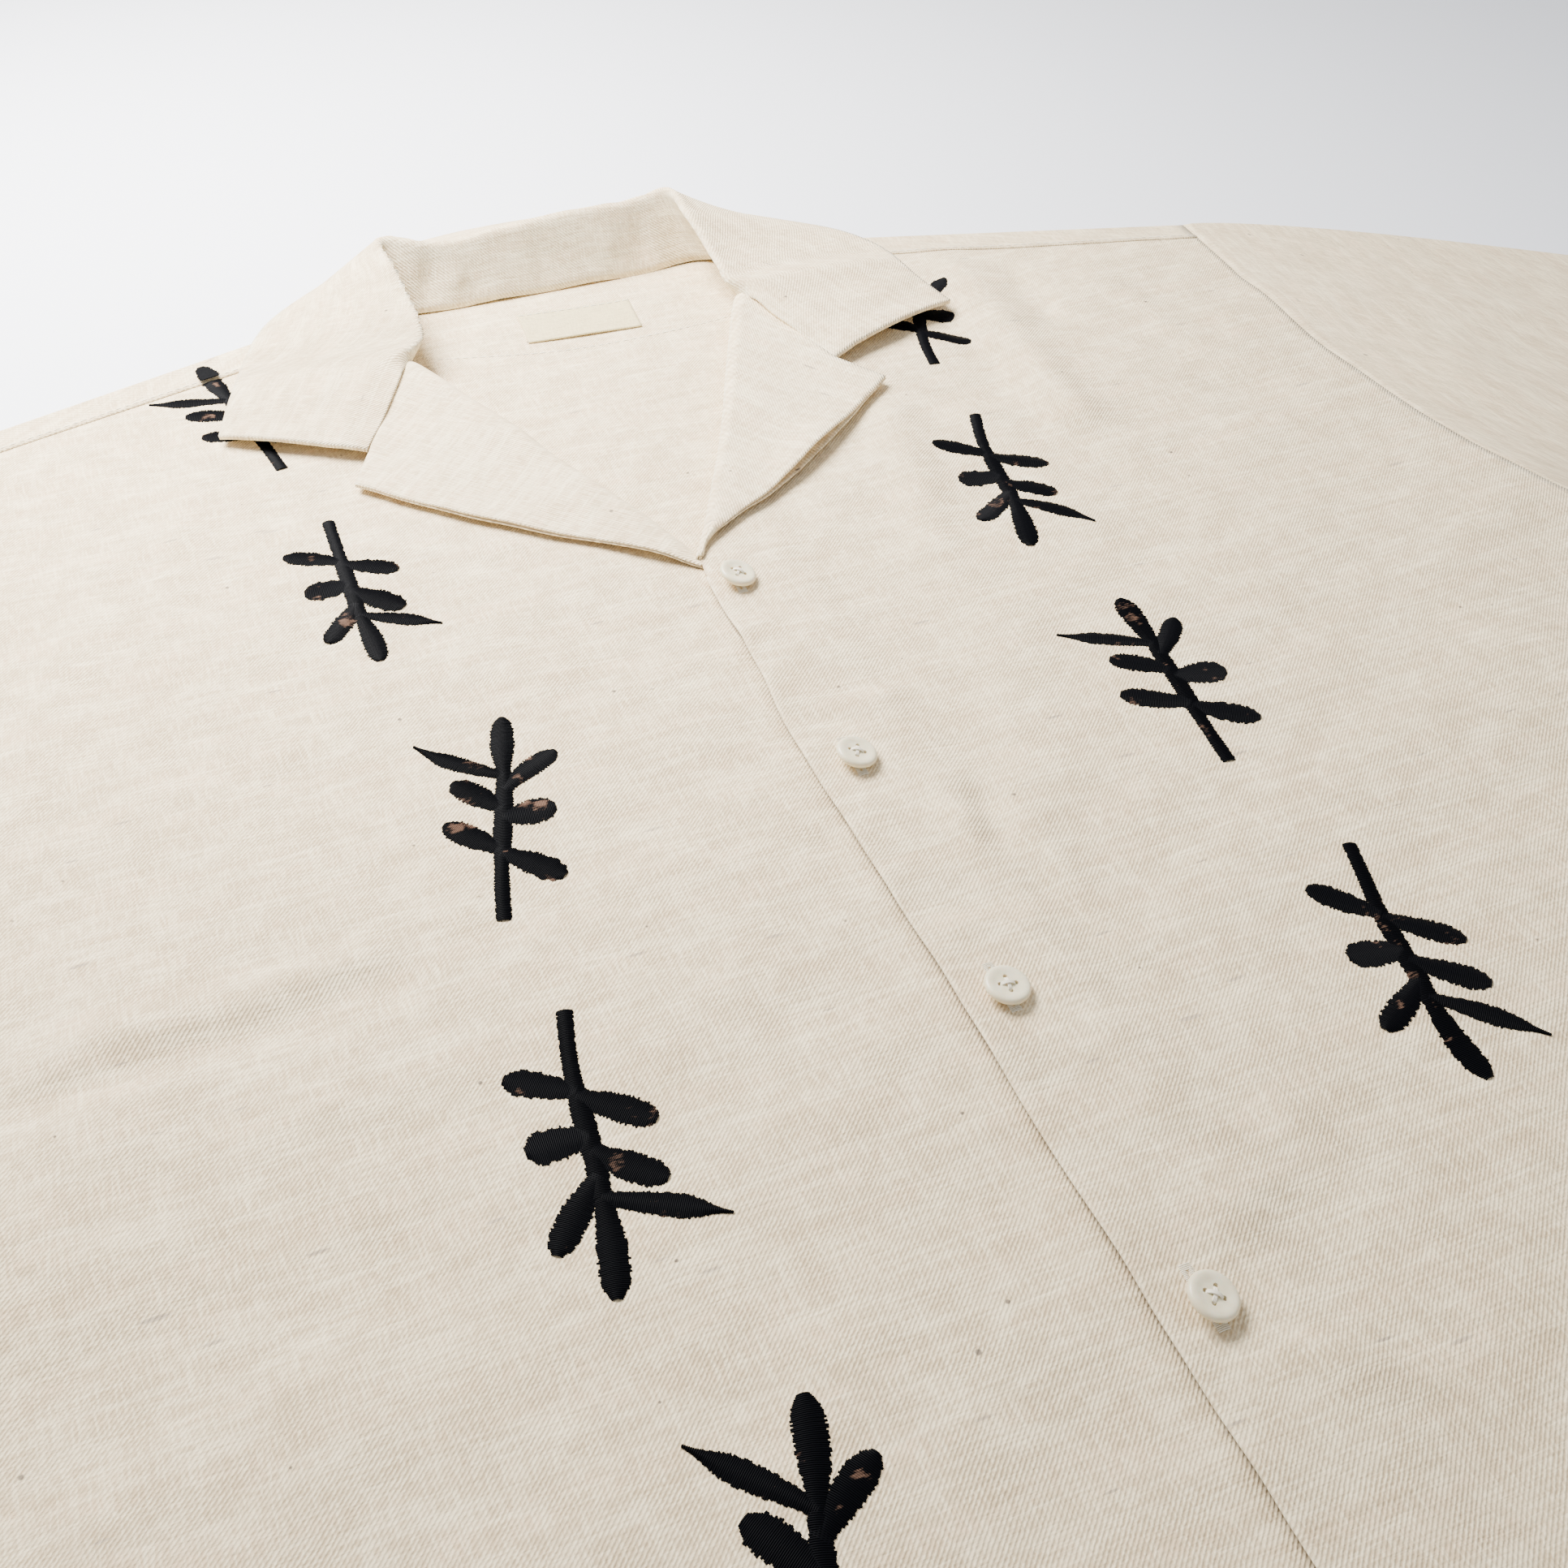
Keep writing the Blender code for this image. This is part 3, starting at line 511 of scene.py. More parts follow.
def back_grid():
    neck = np.linspace(-NECK_POINT[0], NECK_POINT[0], NECK_COLUMNS)
    outer = np.linspace(NECK_POINT[0], SHOULDER_POINT[0], (BACK_COLUMNS - NECK_COLUMNS) // 2 + 1)[1:]
    tops = np.concatenate([-outer[::-1], neck, outer])
    side_ys = np.concatenate([np.linspace(HEM_Y, UNDERARM_Y, BACK_ROWS * 3 // 5),
                              np.linspace(UNDERARM_Y, SHOULDER_POINT[1], BACK_ROWS * 2 // 5)[1:]])
    at_neck = np.abs(tops) < NECK_POINT[0] - 1e-6
    rise = NECK_POINT[1] - BACK_NECK_Y
    top_y = np.where(at_neck, BACK_NECK_Y + rise * (np.abs(tops) / NECK_POINT[0]) ** BACK_NECK_CURVE,
                     shoulder_y(tops))
    up = ((side_ys - HEM_Y) / (SHOULDER_POINT[1] - HEM_Y))[:, None]
    x = tops / SHOULDER_POINT[0] * side_x(side_ys)[:, None]
    y = mix(HEM_Y, top_y, up)
    grid = [np.stack([x, y, inside_back_z(x, y)], -1)]
    empty = np.where(at_neck, np.nan, 0.0)
    for angle in np.linspace(-math.pi / 2, math.pi / 2, 9)[1:]:
        grid.append(np.stack([tops + empty, shoulder_y(tops) + FOLD_RADIUS * math.cos(angle),
                              np.full_like(tops, BACK_Z + FOLD_RADIUS * (1 + math.sin(angle)))], -1)[None])
    share = np.clip((np.abs(tops) - NECK_POINT[0]) / (SHOULDER_POINT[0] - NECK_POINT[0]), 0, 1)
    seam = yoke_seam(share) * np.stack([np.sign(tops), np.ones_like(tops)], -1)
    for t in np.linspace(0, 1, YOKE_ROWS)[1:]:
        line = mix(np.stack([tops, shoulder_y(tops)], -1), seam, t)
        z = upper_z(line[:, 0], line[:, 1]) + YOKE_SEAM_LIFT * ease((t - 0.7) / 0.2)
        grid.append(raised(line + empty[:, None], z)[None])
    return level(np.concatenate(grid))


back_points = back_grid()
back_uv = np.stack([back_points[..., 0], run_along(back_points, 0) + HEM_Y], -1)
back_uv[..., 0] = np.nan_to_num(back_uv[..., 0])
back = cloth_mesh("back_panel", back_points, back_uv, CLOTH, natural_cloth)
dress(back, "back")


# The two fronts: panels of the same cloth, each cut in one piece with its lapel, which folds open
# at the top button. The wearer's left front laps over the right, and is the one with the buttonholes.
OVERLAP_HALF = 0.0135
LAPELS = {
    "right": {
        "roll": ((-0.0068, 0.0145), (0.0035, 0.0355), (0.0267, 0.0833), (0.0410, 0.1165), (0.0600, 0.1590)),
        "edge": ((-0.0056, 0.0150), (0.0008, 0.0236), (0.0275, 0.0402), (0.0559, 0.0607), (0.0925, 0.0914)),
        "notch": (0.0805, 0.1100),
    },
    "left": {
        "roll": ((-0.0050, 0.0125), (-0.0150, 0.0440), (-0.0318, 0.0860), (-0.0500, 0.1350),
                 (-0.0590, 0.1570)),
        "edge": ((-0.0062, 0.0118), (-0.0200, 0.0238), (-0.0416, 0.0421), (-0.0716, 0.0672),
                 (-0.0973, 0.0955)),
        "notch": (-0.0885, 0.1128),
    },
}
GORGE_SHARE = 5 / 8
ROLL_RADIUS = (0.0013, 0.0038)
NECK_BOW = (0.0015, -0.001)
LAPEL_LIFT = (0.0022, 0.0030)
LAPEL_WAVE = 0.0007
LAPEL_SWELL = 0.0013           # of the left lapel's edge, low down
PLY_PARTING = 0.0036
BREAK_LENGTH = 0.12            # share of the lapel over which it opens out of the front edge
BREAK_PINCH = 0.35
FACING_STEP = 0.0009           # the facing lies this far over its lapel
TUCK = {"right": (0.0652, 0.1668), "left": (-0.0640, 0.1648)}
EDGE_FOLD = 0.0004
EDGE_TURNED_IN = 0.014
EDGE_LIFT = 0.0012             # the upper front's edge curls up by this,
EDGE_CURL = 0.006              # over about this much cloth,
EDGE_DIP = 0.0009              # and the cloth under it sinks
CLIMB_START = 0.002            # where the upper front starts down past the under one's edge
CLIMB_LENGTH = 0.016
EDGE_PAINTED_SHADE = 0.72               # how dark the painted shade in the crevice between them is
BREAK_PLACE = (-0.0050, 0.0100)
BREAK_RISE = 0.0013            # the upper front passes over the end of the under one's lapel
BREAK_SPREAD = 0.007
UPPER_EDGE = ((-0.0105, -0.525), (-0.0103, -0.310), (-0.0108, -0.220), (-0.0104, -0.158), (-0.0111, -0.078),
              (-0.0084, -0.036), (-0.0076, 0.008))
UNDER_EDGE = ((OVERLAP_HALF, HEM_Y), (OVERLAP_HALF, 0.010))
LAPEL_ROWS = 64
LAPEL_COLUMNS = 30
FOLD_COLUMNS = 9
PANEL_COLUMNS = 84
FINE_BAND = 0.05               # the grid is finer this near to the front edge
BODY_ROWS = 130
CHEST_ROWS = 34
NECK_ROWS = 14
CHEST_TOP_Y = -0.010           # where the chest's rows end on the armhole
LAPEL_SPAN = (0.002, 0.120)    # and between which the lapel's rows do
MIRROR = {"right": 1, "left": -1}
upper_edge_line = smooth_line(UPPER_EDGE, 60)


def past_upper_edge(x, y):
    """How far a point is from the upper front's edge, towards the buttons."""
    return x - np.interp(y, upper_edge_line[:, 1], upper_edge_line[:, 0])


def front_z(side, x, y):
    """Middle of a front's wall; the upper front climbs over the under front."""
    x, y = np.asarray(x), np.asarray(y)
    z = upper_z(x, y)
    past = past_upper_edge(x, y)
    if side == "right":
        climb = 1 - ease((x - OVERLAP_HALF - CLIMB_START) / CLIMB_LENGTH)
        z = z + PLY_STEP * climb * (1 - ease((y - 0.022) / 0.050))
        curl = EDGE_LIFT * (0.85 + 0.2 * np.sin(y * 95) + 0.2 * np.sin(y * 230 + 1))
        z = z + curl * np.exp(-np.maximum(past, 0) / EDGE_CURL) * (1 - ease((y + 0.002) / 0.014))
        away = ((x - BREAK_PLACE[0]) / BREAK_SPREAD) ** 2 + ((y - BREAK_PLACE[1]) / BREAK_SPREAD) ** 2
        return z + BREAK_RISE * np.exp(-away)
    dip = EDGE_DIP * ease((past + 0.0028) / 0.0040) * (1 - ease((y + 0.002) / 0.010))
    return np.maximum(z - dip, LOWEST_Z)


def lapel_shape(side):
    """The fold's axis, the way it faces, its radius and the lapel's points, row by row."""
    table = LAPELS[side]
    roll = smooth_line(table["roll"] + (TUCK[side],), LAPEL_ROWS)
    free = smooth_line(table["edge"], LAPEL_ROWS)
    along = unit(np.gradient(roll, axis=0))
    out = np.stack([along[:, 1], -along[:, 0]], axis=1) * MIRROR[side]
    u = np.linspace(0, 1, LAPEL_ROWS)[:, None]
    v = np.linspace(0, 1, LAPEL_COLUMNS)[None, :]
    opening = ease(u / BREAK_LENGTH)
    radius = np.linspace(*ROLL_RADIUS, LAPEL_ROWS)[:, None] * mix(BREAK_PINCH, 1.0, opening)
    axis = roll + out * (radius + FACING_STEP * opening)
    notch, tip = np.array(table["notch"]), free[-1]
    top = np.where(v[0][:, None] <= GORGE_SHARE, mix(axis[-1], notch, v[0][:, None] / GORGE_SHARE),
                   mix(notch, tip, (v[0][:, None] - GORGE_SHARE) / (1 - GORGE_SHARE)))
    straight = mix(axis[:, None, :], free[:, None, :], v[..., None])
    flat = straight + u[..., None] * (top[None] - mix(axis[-1], tip, v[0][:, None])[None])
    stand = mix(LAPEL_LIFT[0], LAPEL_LIFT[1], u) * mix(BREAK_PINCH, 1.0, opening)
    lift = stand + (2 * radius - stand) * (1 - v) ** 1.5
    lift = lift + LAPEL_WAVE * np.sin(v * math.pi) * np.sin(u * 5.0 + 0.6)
    if side == "left":
        lift = lift + LAPEL_SWELL * ease((v - 0.5) / 0.5) * np.exp(-((u - 0.16) / 0.10) ** 2)
    z = front_z(side, flat[..., 0], flat[..., 1]) + lift
    return axis, out, radius, raised(flat, z)


def front_grid(side):
    mirror = MIRROR[side]
    edge = smooth_line(UPPER_EDGE if side == "right" else UNDER_EDGE, 60)
    axis, out, radius, lapel = lapel_shape(side)
    low = np.linspace(HEM_Y, UNDERARM_Y, BODY_ROWS)
    middle = np.linspace(UNDERARM_Y, edge[-1, 1], CHEST_ROWS)[1:]
    ys = np.concatenate([low, middle])
    inner = np.stack([np.interp(ys, edge[:, 1], edge[:, 0]), ys], -1)
    neck_end = yoke_seam(0.0) * (mirror, 1)
    bow = np.array((NECK_BOW[0] * mirror, NECK_BOW[1]))
    neck = smooth_line((axis[-1], mix(axis[-1], neck_end, 0.5) + bow, neck_end), NECK_ROWS)[1:]
    inner = np.concatenate([inner, axis, neck])
    outer_y = np.concatenate([low, np.linspace(UNDERARM_Y, CHEST_TOP_Y, CHEST_ROWS)[1:],
                              np.linspace(*LAPEL_SPAN, LAPEL_ROWS),
                              np.linspace(LAPEL_SPAN[1], YOKE_END_Y, NECK_ROWS)[1:]])
    outer = np.stack([mirror * side_x(outer_y), outer_y], -1)
    inner[-1, 1] -= SEAM_GAP
    outer[-1, 1] -= SEAM_GAP
    length = np.linalg.norm(outer - inner, axis=1)[:, None]
    near = np.linspace(0, FINE_BAND, PANEL_COLUMNS // 4)
    rest = np.linspace(0, 1, PANEL_COLUMNS - len(near) + 1)[1:]
    run = np.concatenate([np.repeat(near[None], len(length), 0),
                          FINE_BAND + (length - FINE_BAND) * rest], axis=1)
    share = (run / length)[:, ::-1, None]
    flat = mix(inner[:, None, :], outer[:, None, :], share)
    panel = raised(flat, front_z(side, flat[..., 0], flat[..., 1]))
    first = len(low) + len(middle)
    turned = np.full((len(inner), FOLD_COLUMNS + LAPEL_COLUMNS, 3), np.nan)
    angles = np.linspace(-math.pi / 2, math.pi / 2, FOLD_COLUMNS + 2)[1:-1]
    centre = panel[first:first + LAPEL_ROWS, -1, 2][:, None] + radius
    around = axis[:, None, :] - out[:, None, :] * (radius * np.cos(angles))[..., None]
    height = centre + radius * np.sin(angles)
    turned[first:first + LAPEL_ROWS, :FOLD_COLUMNS] = raised(around, height)
    turned[first:first + LAPEL_ROWS, FOLD_COLUMNS:] = lapel
    if side == "right":
        below = panel[:first - 1, -1]
        inward = ((outer - inner) / length)[:first - 1]
        bends = np.concatenate([np.linspace(math.pi / 2, -math.pi / 2, 8)[1:], [-math.pi / 2] * 4])
        reach = np.concatenate([np.zeros(7), np.linspace(0, EDGE_TURNED_IN, 5)[1:]])
        shift = (reach - EDGE_FOLD * np.cos(bends))[None, :, None] * inward[:, None, :]
        drop = EDGE_FOLD * (np.sin(bends) - 1)
        hidden = below[:, None, :2] + shift
        turned[:first - 1, :len(bends), :2] = hidden
        turned[:first - 1, :len(bends), 2] = front_z(side, hidden[..., 0], hidden[..., 1]) + drop
    return level(np.concatenate([panel, turned], axis=1))


def edge_painted_shade(side, points):
    """How dark the painted shade is in the crevice under the upper front's edge and on its turned-in ply."""
    shaded = np.zeros(points.shape[:2])
    y = points[..., 1] - TOP_BUTTON_Y
    if side == "right":
        shaded[:, PANEL_COLUMNS + 4:] = 1.0
    else:
        past = past_upper_edge(points[..., 0], y)
        shaded[:, :PANEL_COLUMNS] = ease((past + 0.0004) / 0.0024)[:, :PANEL_COLUMNS]
    return shaded * (1 - ease((y + 0.006) / 0.012)) * EDGE_PAINTED_SHADE


fronts = {}
for side in MIRROR:
    points = front_grid(side)
    across = points[:, :1, 0] - MIRROR[side] * run_along(points, 1)
    uv = np.nan_to_num(np.stack([across, points[..., 1]], -1))
    fronts[side] = cloth_mesh("front_panel_" + side, points, uv, CLOTH, natural_cloth,
                              shaded=edge_painted_shade(side, points))
    dress(fronts[side], "front_" + side)


# The facings: a second ply of the same cloth inside each front. Only the part that turns over the
# lapel shows, lying on it, and the upper one parts a little from its lapel along the edge.
FACING_LOWEST = 0.0022         # its bend starts no lower than this over the table
OVERLAP_TOP_Y = 0.028          # below this the upper facing stays over the under front
UNDER_PARTING = 0.15           # share of that parting which the under facing has


def facing_grid(side):
    axis, out, radius, lapel = lapel_shape(side)
    centre = front_z(side, axis[:, 0], axis[:, 1])[:, None] + radius
    turn_radius = radius + FACING_STEP
    lowest = np.full(len(axis), FACING_LOWEST)
    if side == "right":
        lowest = np.where(axis[:, 1] < OVERLAP_TOP_Y, upper_z(axis[:, 0], axis[:, 1]) + FACING_STEP, lowest)
    reach = np.minimum((centre[:, 0] - lowest) / turn_radius[:, 0], 0.95)
    first = -np.arcsin(reach)[:, None]
    turn = mix(first, math.pi / 2, np.linspace(0, 1, 13)[None, :-1])
    around = axis[:, None, :] - out[:, None, :] * (turn_radius * np.cos(turn))[..., None]
    bend = raised(around, centre + turn_radius * np.sin(turn))
    v = np.linspace(0, 1, lapel.shape[1])[None, :]
    u = np.linspace(0, 1, lapel.shape[0])[:, None]
    parting = PLY_PARTING * ease((v - 0.55) / 0.45) * np.exp(-((u - 0.56) / 0.20) ** 2)
    if side == "left":
        parting = parting * UNDER_PARTING
    over = lapel.copy()
    over[..., 2] += FACING_STEP + parting - 0.00015 * ease((v - 0.9) / 0.1)
    return level(np.concatenate([bend, over], axis=1))


def mirrored_grain(points, crown=12):
    """The place of each point on the flat cloth, which turned over about the roll of the lapel."""
    from_crown = run_along(points, 1)
    from_crown = from_crown - from_crown[:, crown:crown + 1]
    flat = points[..., :2].copy()
    row_way = unit(flat[:, crown + 3] - flat[:, crown])
    flat[:, :crown] = flat[:, crown:crown + 1] + row_way[:, None, :] * from_crown[:, :crown, None]
    foot, head = flat[0, crown].copy(), flat[-1, crown].copy()
    roll_way = unit(head - foot)
    along = (flat - foot) @ roll_way
    return 2 * (foot + along[..., None] * roll_way) - flat


facings = {}
for side in MIRROR:
    points = facing_grid(side)
    facings[side] = cloth_mesh("lapel_facing_" + side, points, mirrored_grain(points), CLOTH, facing_cloth)
    dress(facings[side], "facing_" + side)


# The collar: upper and under collar sewn together, turned and pressed, then sewn to the neck. It
# stands up round the back of the neck, rolls over and falls flat over the shoulders.
COLLAR_WALL = 0.0015
COLLAR = MM * np.array((
    # seam x, y, z, crest x, y, z, free edge x, y, z, from the right end round the back to the left
    (81, 110.2, 8, 92.5, 115, 8.8, 138.5, 132.5, 7.8),
    (76.2, 124.7, 9.4, 88, 129.2, 10.4, 136.8, 144, 7.7),
    (71.2, 139.7, 11.1, 82, 144, 12.3, 135.5, 156, 7.6),
    (67.8, 153, 12.6, 74.5, 158, 14.7, 135, 168, 7.5),
    (65.3, 164, 9.4, 62.4, 166.5, 15.6, 134, 180, 7.4),
    (69.2, 175.5, 5.6, 61.8, 176, 17.8, 130.5, 193, 7),
    (73.1, 189, 5.4, 61.5, 189, 21, 124, 208, 5.8),
    (75.2, 202, 6, 59.8, 208, 25.2, 112, 226, 3.6),
    (65.5, 213.5, 3.1, 59.5, 226.2, 27, 90, 250, 1.4),
    (43, 212, 2.6, 43.5, 226.2, 25.8, 57, 266.5, 1.4),
    (22, 211.5, 2.6, 22, 224.8, 25, 26, 273, 1.4),
    (0, 211.4, 2.6, 0, 224.5, 24.6, 0, 274.5, 1.4),
    (-22, 211.5, 2.6, -20, 224.2, 23.6, -26, 272.5, 1.4),
    (-43, 212, 2.6, -39, 224, 22.9, -54, 265, 1.4),
    (-65.5, 213.5, 3.1, -57, 227, 26.4, -83, 245, 1.4),
    (-75.2, 202, 6, -57.2, 208, 25, -101, 225, 3.6),
    (-72.9, 188, 5.4, -56.2, 189, 21, -110.5, 207.5, 5.8),
    (-68.3, 173.5, 5.6, -56.2, 174.5, 17.8, -116, 193, 7),
    (-64, 161.6, 9.4, -59.4, 164.2, 15.6, -120.5, 181, 7.4),
    (-67.7, 151.5, 12.6, -75, 156.4, 14.7, -124, 171, 7.5),
    (-73.6, 139.6, 11.1, -84, 144, 12.3, -127.5, 161, 7.6),
    (-81.4, 126.2, 9.4, -92, 131, 10.4, -131, 150, 7.7),
    (-89, 113.1, 8, -98.5, 118, 8.8, -134, 140, 7.8),
))
STAND_CREASES = (
    # x along the back of the neck, half width, how far it is pushed out
    (-0.0400, 0.0030, 0.0028), (-0.0310, 0.0036, -0.0020), (0.0300, 0.0055, -0.0014),
    (0.0440, 0.0034, 0.0022), (0.0040, 0.0090, 0.0009),
)
STAND_START = 0.003            # height of the roll over the seam from which the collar stands
STAND_RANGE = 0.020            # and how much more makes it stand fully
SEAM_SINK = (0.0006, 0.0008)   # how far its seam sinks, where it lies and where it stands
FOOT_REACH = (0.0002, 0.0034)  # how far its foot turns out where it lies, and how much more where it stands
ROLL_SINK = 0.0013
ROLL_IN = 0.0012
ROLL_OUT = 0.0014
FALL_BULGE = 0.0010
FALL_WAVE = 0.0006
LENGTH_WAVE = 0.0003
COLLAR_LOWEST = 0.0012
STATION_STEPS = 9
SECTION_POINTS = 46


def collar_grid():
    stations = smooth_line(COLLAR, steps=STATION_STEPS)
    rows = []
    for station in stations:
        seam, crest, free = station[:3], station[3:6], station[6:]
        flat = unit((free - crest) * (1, 1, 0))
        stand = min(max(crest[2] - seam[2] - STAND_START, 0.0) / STAND_RANGE, 1.0)
        seam = seam - (0, 0, mix(*SEAM_SINK, stand))
        drop = np.array((0, 0, ROLL_SINK)) * stand
        inside = crest - drop - flat * ROLL_IN
        outside = crest - drop + flat * ROLL_OUT
        dent = sum(depth * math.exp(-((crest[0] - x) / width) ** 2) for x, width, depth in STAND_CREASES)
        middle = mix(seam, inside, 0.5) + flat * dent * stand
        bulge = np.array((0, 0, FALL_BULGE * (1 - stand)))
        foot = seam + flat * (FOOT_REACH[0] + FOOT_REACH[1] * stand)
        section = [foot, seam, mix(seam, middle, 0.5), middle, mix(middle, inside, 0.55), inside, crest]
        section += [mix(outside, free, t) + bulge * math.sin(math.pi * t) for t in np.linspace(0, 1, 7)]
        rows.append(smooth_line(section, SECTION_POINTS))
    grid = np.array(rows)
    along = np.linspace(0, 1, len(grid))[:, None]
    down = np.linspace(0, 1, SECTION_POINTS)[None, :]
    lift = FALL_WAVE * np.sin(along * 41 + down * 3) * ease(down / 0.3)
    lift = lift + LENGTH_WAVE * np.sin(along * 83 + 1.3)
    grid[..., 2] = np.maximum(grid[..., 2] + lift * ease((1 - down) / 0.12), COLLAR_LOWEST)
    return level(grid)


collar_points = collar_grid()
collar_run = run_along(collar_points, 0)[:, SECTION_POINTS // 2]
collar_uv = np.stack(np.broadcast_arrays(collar_run[:, None], run_along(collar_points, 1)), -1)
collar = cloth_mesh("camp_collar", collar_points, collar_uv, COLLAR_WALL, natural_cloth)
dress(collar, "collar")


# The sleeves: short tubes set into low armholes, with a wide cuff hemmed by a turned-up band.
# Each lies flattened, folded along its top and at its underarm seam.
SLEEVE_TOP = 0.240
SLEEVE_ANGLE = math.radians(-35)
SLEEVE_CAP = 0.0095
CUFF_WIDTH = 0.200
SLEEVE_ROWS = 72
SLEEVE_COLUMNS = 66
ROOT_LOW = np.array((0.15, -0.99))  # the ways its two folds face where it meets the body
ROOT_HIGH = np.array((0.0, 1.0))
BAND_LIFT = 0.0003             # by the turned-up band of the cuff,
BAND_START = 0.88              # from this share of its length
EDGE_TURNS = np.radians(np.linspace(-75, 75, 7))
sleeve_along = np.array((math.cos(SLEEVE_ANGLE), math.sin(SLEEVE_ANGLE)))
sleeve_down = np.array((sleeve_along[1], -sleeve_along[0]))


def fold_over(place, way):
    """Points round a folded edge, which bulges that way."""
    return [(*(place + way * FOLD_RADIUS * math.cos(turn)), BACK_Z + FOLD_RADIUS * (1 + math.sin(turn)))
            for turn in EDGE_TURNS]


def sleeve_grid(side):
    mirror = MIRROR[side]
    cuff_top = np.array(SHOULDER_POINT) + sleeve_along * SLEEVE_TOP
    cuff_bottom = cuff_top + sleeve_down * CUFF_WIDTH
    ys = np.linspace(UNDERARM_Y, SHOULDER_POINT[1], SLEEVE_COLUMNS)
    root = np.stack([armhole_x(ys), ys], -1)
    share = (ys - UNDERARM_Y) / (SHOULDER_POINT[1] - UNDERARM_Y)
    cuff = cuff_bottom + share[:, None] * (cuff_top - cuff_bottom)
    underarm = cuff_bottom - root[0]
    low_out = unit(np.array((underarm[1], -underarm[0])))
    rows = []
    for s in np.linspace(0, 1, SLEEVE_ROWS):
        line = mix(root + (SEAM_GAP, 0), cuff, s)
        line = line - sleeve_down * SLEEVE_CAP * math.sin(math.pi * s ** 0.6) * share[:, None] ** 2
        turn_low = mix(ROOT_LOW, low_out, s)
        turn_high = mix(ROOT_HIGH, -sleeve_down, s)
        row = [(*p, BACK_Z) for p in line] + fold_over(line[-1], turn_high)
        t = share[::-1]
        x, y = line[::-1].T
        from_fold = np.minimum(t, 1 - t)
        turned = BACK_Z + 2 * FOLD_RADIUS
        body_edge = mix(turned, upper_z(mirror * root[::-1, 0], root[::-1, 1]), ease(from_fold / 0.12))
        soft = softness(x, y, mirror) * ease((1 - s) / 0.2)
        free = mix(turned, RESTING_Z + soft, ease(from_fold / 0.25))
        z = np.maximum(mix(body_edge, free, ease(s / 0.25)), LOWEST_Z)
        z = z + BAND_LIFT * ease((s - BAND_START) / 0.02) * ease(from_fold / 0.05)
        rows.append(row + list(zip(x, y, z)) + fold_over(line[0], turn_low)[::-1])
    return level(np.array(rows) * (mirror, 1, 1))


sleeves = {}
for side in MIRROR:
    points = sleeve_grid(side)
    closed = np.concatenate([points, points[:, :1]], axis=1)
    uv = np.stack([run_along(closed, 1), run_along(closed, 0)], -1)
    sleeves[side] = cloth_mesh("sleeve_tube_" + side, points, uv, CLOTH, natural_cloth, wrap=True)
    dress(sleeves[side], "sleeve_" + side)


# The neck label: a small woven tape of cream satin, sewn on along its top edge inside the back.
LABEL_SIZE = (0.0435, 0.0225)
LABEL_CENTRE = (0.0064, 0.1830)
LABEL_TURN = math.radians(-5)
LABEL_WALL = 0.0005
LABEL_LIFT = 0.0006
LABEL_AIR = 0.0001
LABEL_FINENESS = 1.6           # its weave is finer than the shirt's
LABEL_ROWS = 24
LABEL_COLUMNS = 44
label_across = np.array((math.cos(LABEL_TURN), math.sin(LABEL_TURN)))
label_up = np.array((-label_across[1], label_across[0]))
label_cloth = woven("label cloth", (0.76, 0.65, 0.375), (0.74, 0.62, 0.35), 0.12, 0.3)


def label_grid():
    v = np.linspace(-0.5, 0.5, LABEL_ROWS)
    u = np.linspace(-0.5, 0.5, LABEL_COLUMNS)
    v, u = np.meshgrid(v, u, indexing="ij")
    flat = (np.array(LABEL_CENTRE) + u[..., None] * label_across * LABEL_SIZE[0]
            + v[..., None] * label_up * LABEL_SIZE[1])
    lift = LABEL_LIFT * (0.5 - v) ** 2 * (0.7 + 0.3 * np.cos(2 * math.pi * u))
    z = inside_back_z(flat[..., 0], flat[..., 1]) + (CLOTH + LABEL_WALL) / 2 + LABEL_AIR + lift
    return level(raised(flat, z))


label_points = label_grid()
label_uv = np.stack([run_along(label_points, 1), run_along(label_points, 0)], -1) * LABEL_FINENESS
label = cloth_mesh("neck_label", label_points, label_uv, LABEL_WALL, label_cloth)
dress(label, "label")


# The embroidery: leaf sprigs in black satin stitch, worked by machine in two columns down the front,
# each sprig the other way up from the last. Where the thread runs thin the cloth shows brown through it.
SPRIG_LENGTH = 0.076
STEM_HALF_WIDTH = 0.0019
LEAVES = (
    # place up the stem, side, angle from the stem, length, half width, how pointed
    (0.31, 1, 117, 0.0180, 0.0035, 0.0),
    (0.33, -1, 62, 0.0185, 0.0035, 0.0),
    (0.48, 1, 88, 0.0145, 0.0043, 0.0),
    (0.53, -1, 53, 0.0180, 0.0038, 0.0),
    (0.62, 1, 38, 0.0195, 0.0033, 0.0),
    (0.69, -1, 64, 0.0270, 0.0028, 1.0),
    (0.70, 0, -4, 0.0232, 0.0033, 0.0),
)
SPRIGS = {
    "left": (
        # x, y, turn in degrees
        (-0.1240, 0.1560, 10), (-0.1100, 0.0440, 179), (-0.0935, -0.0700, -15), (-0.1040, -0.1780, 171),
        (-0.0930, -0.2860, -18), (-0.1030, -0.3930, 175),
    ),
    "right": (
        (0.1260, 0.1350, -16), (0.1030, 0.0230, 166), (0.1010, -0.0875, -8), (0.0960, -0.2010, 164),
        (0.0990, -0.3110, -12), (0.1020, -0.4180, 170),
    ),
}
STITCH_PITCH = 0.00042
THREAD_RADIUS = 0.00027
SATIN_RISE = 0.00055
SATIN_UNEVENNESS = 0.11
LEAF_POINTS = 14
LEAF_BEND = 14                 # most that a leaf bends either way, in degrees
LEAF_LEAN = 6                  # and leans off its angle
STEM_SWAY = 0.0012


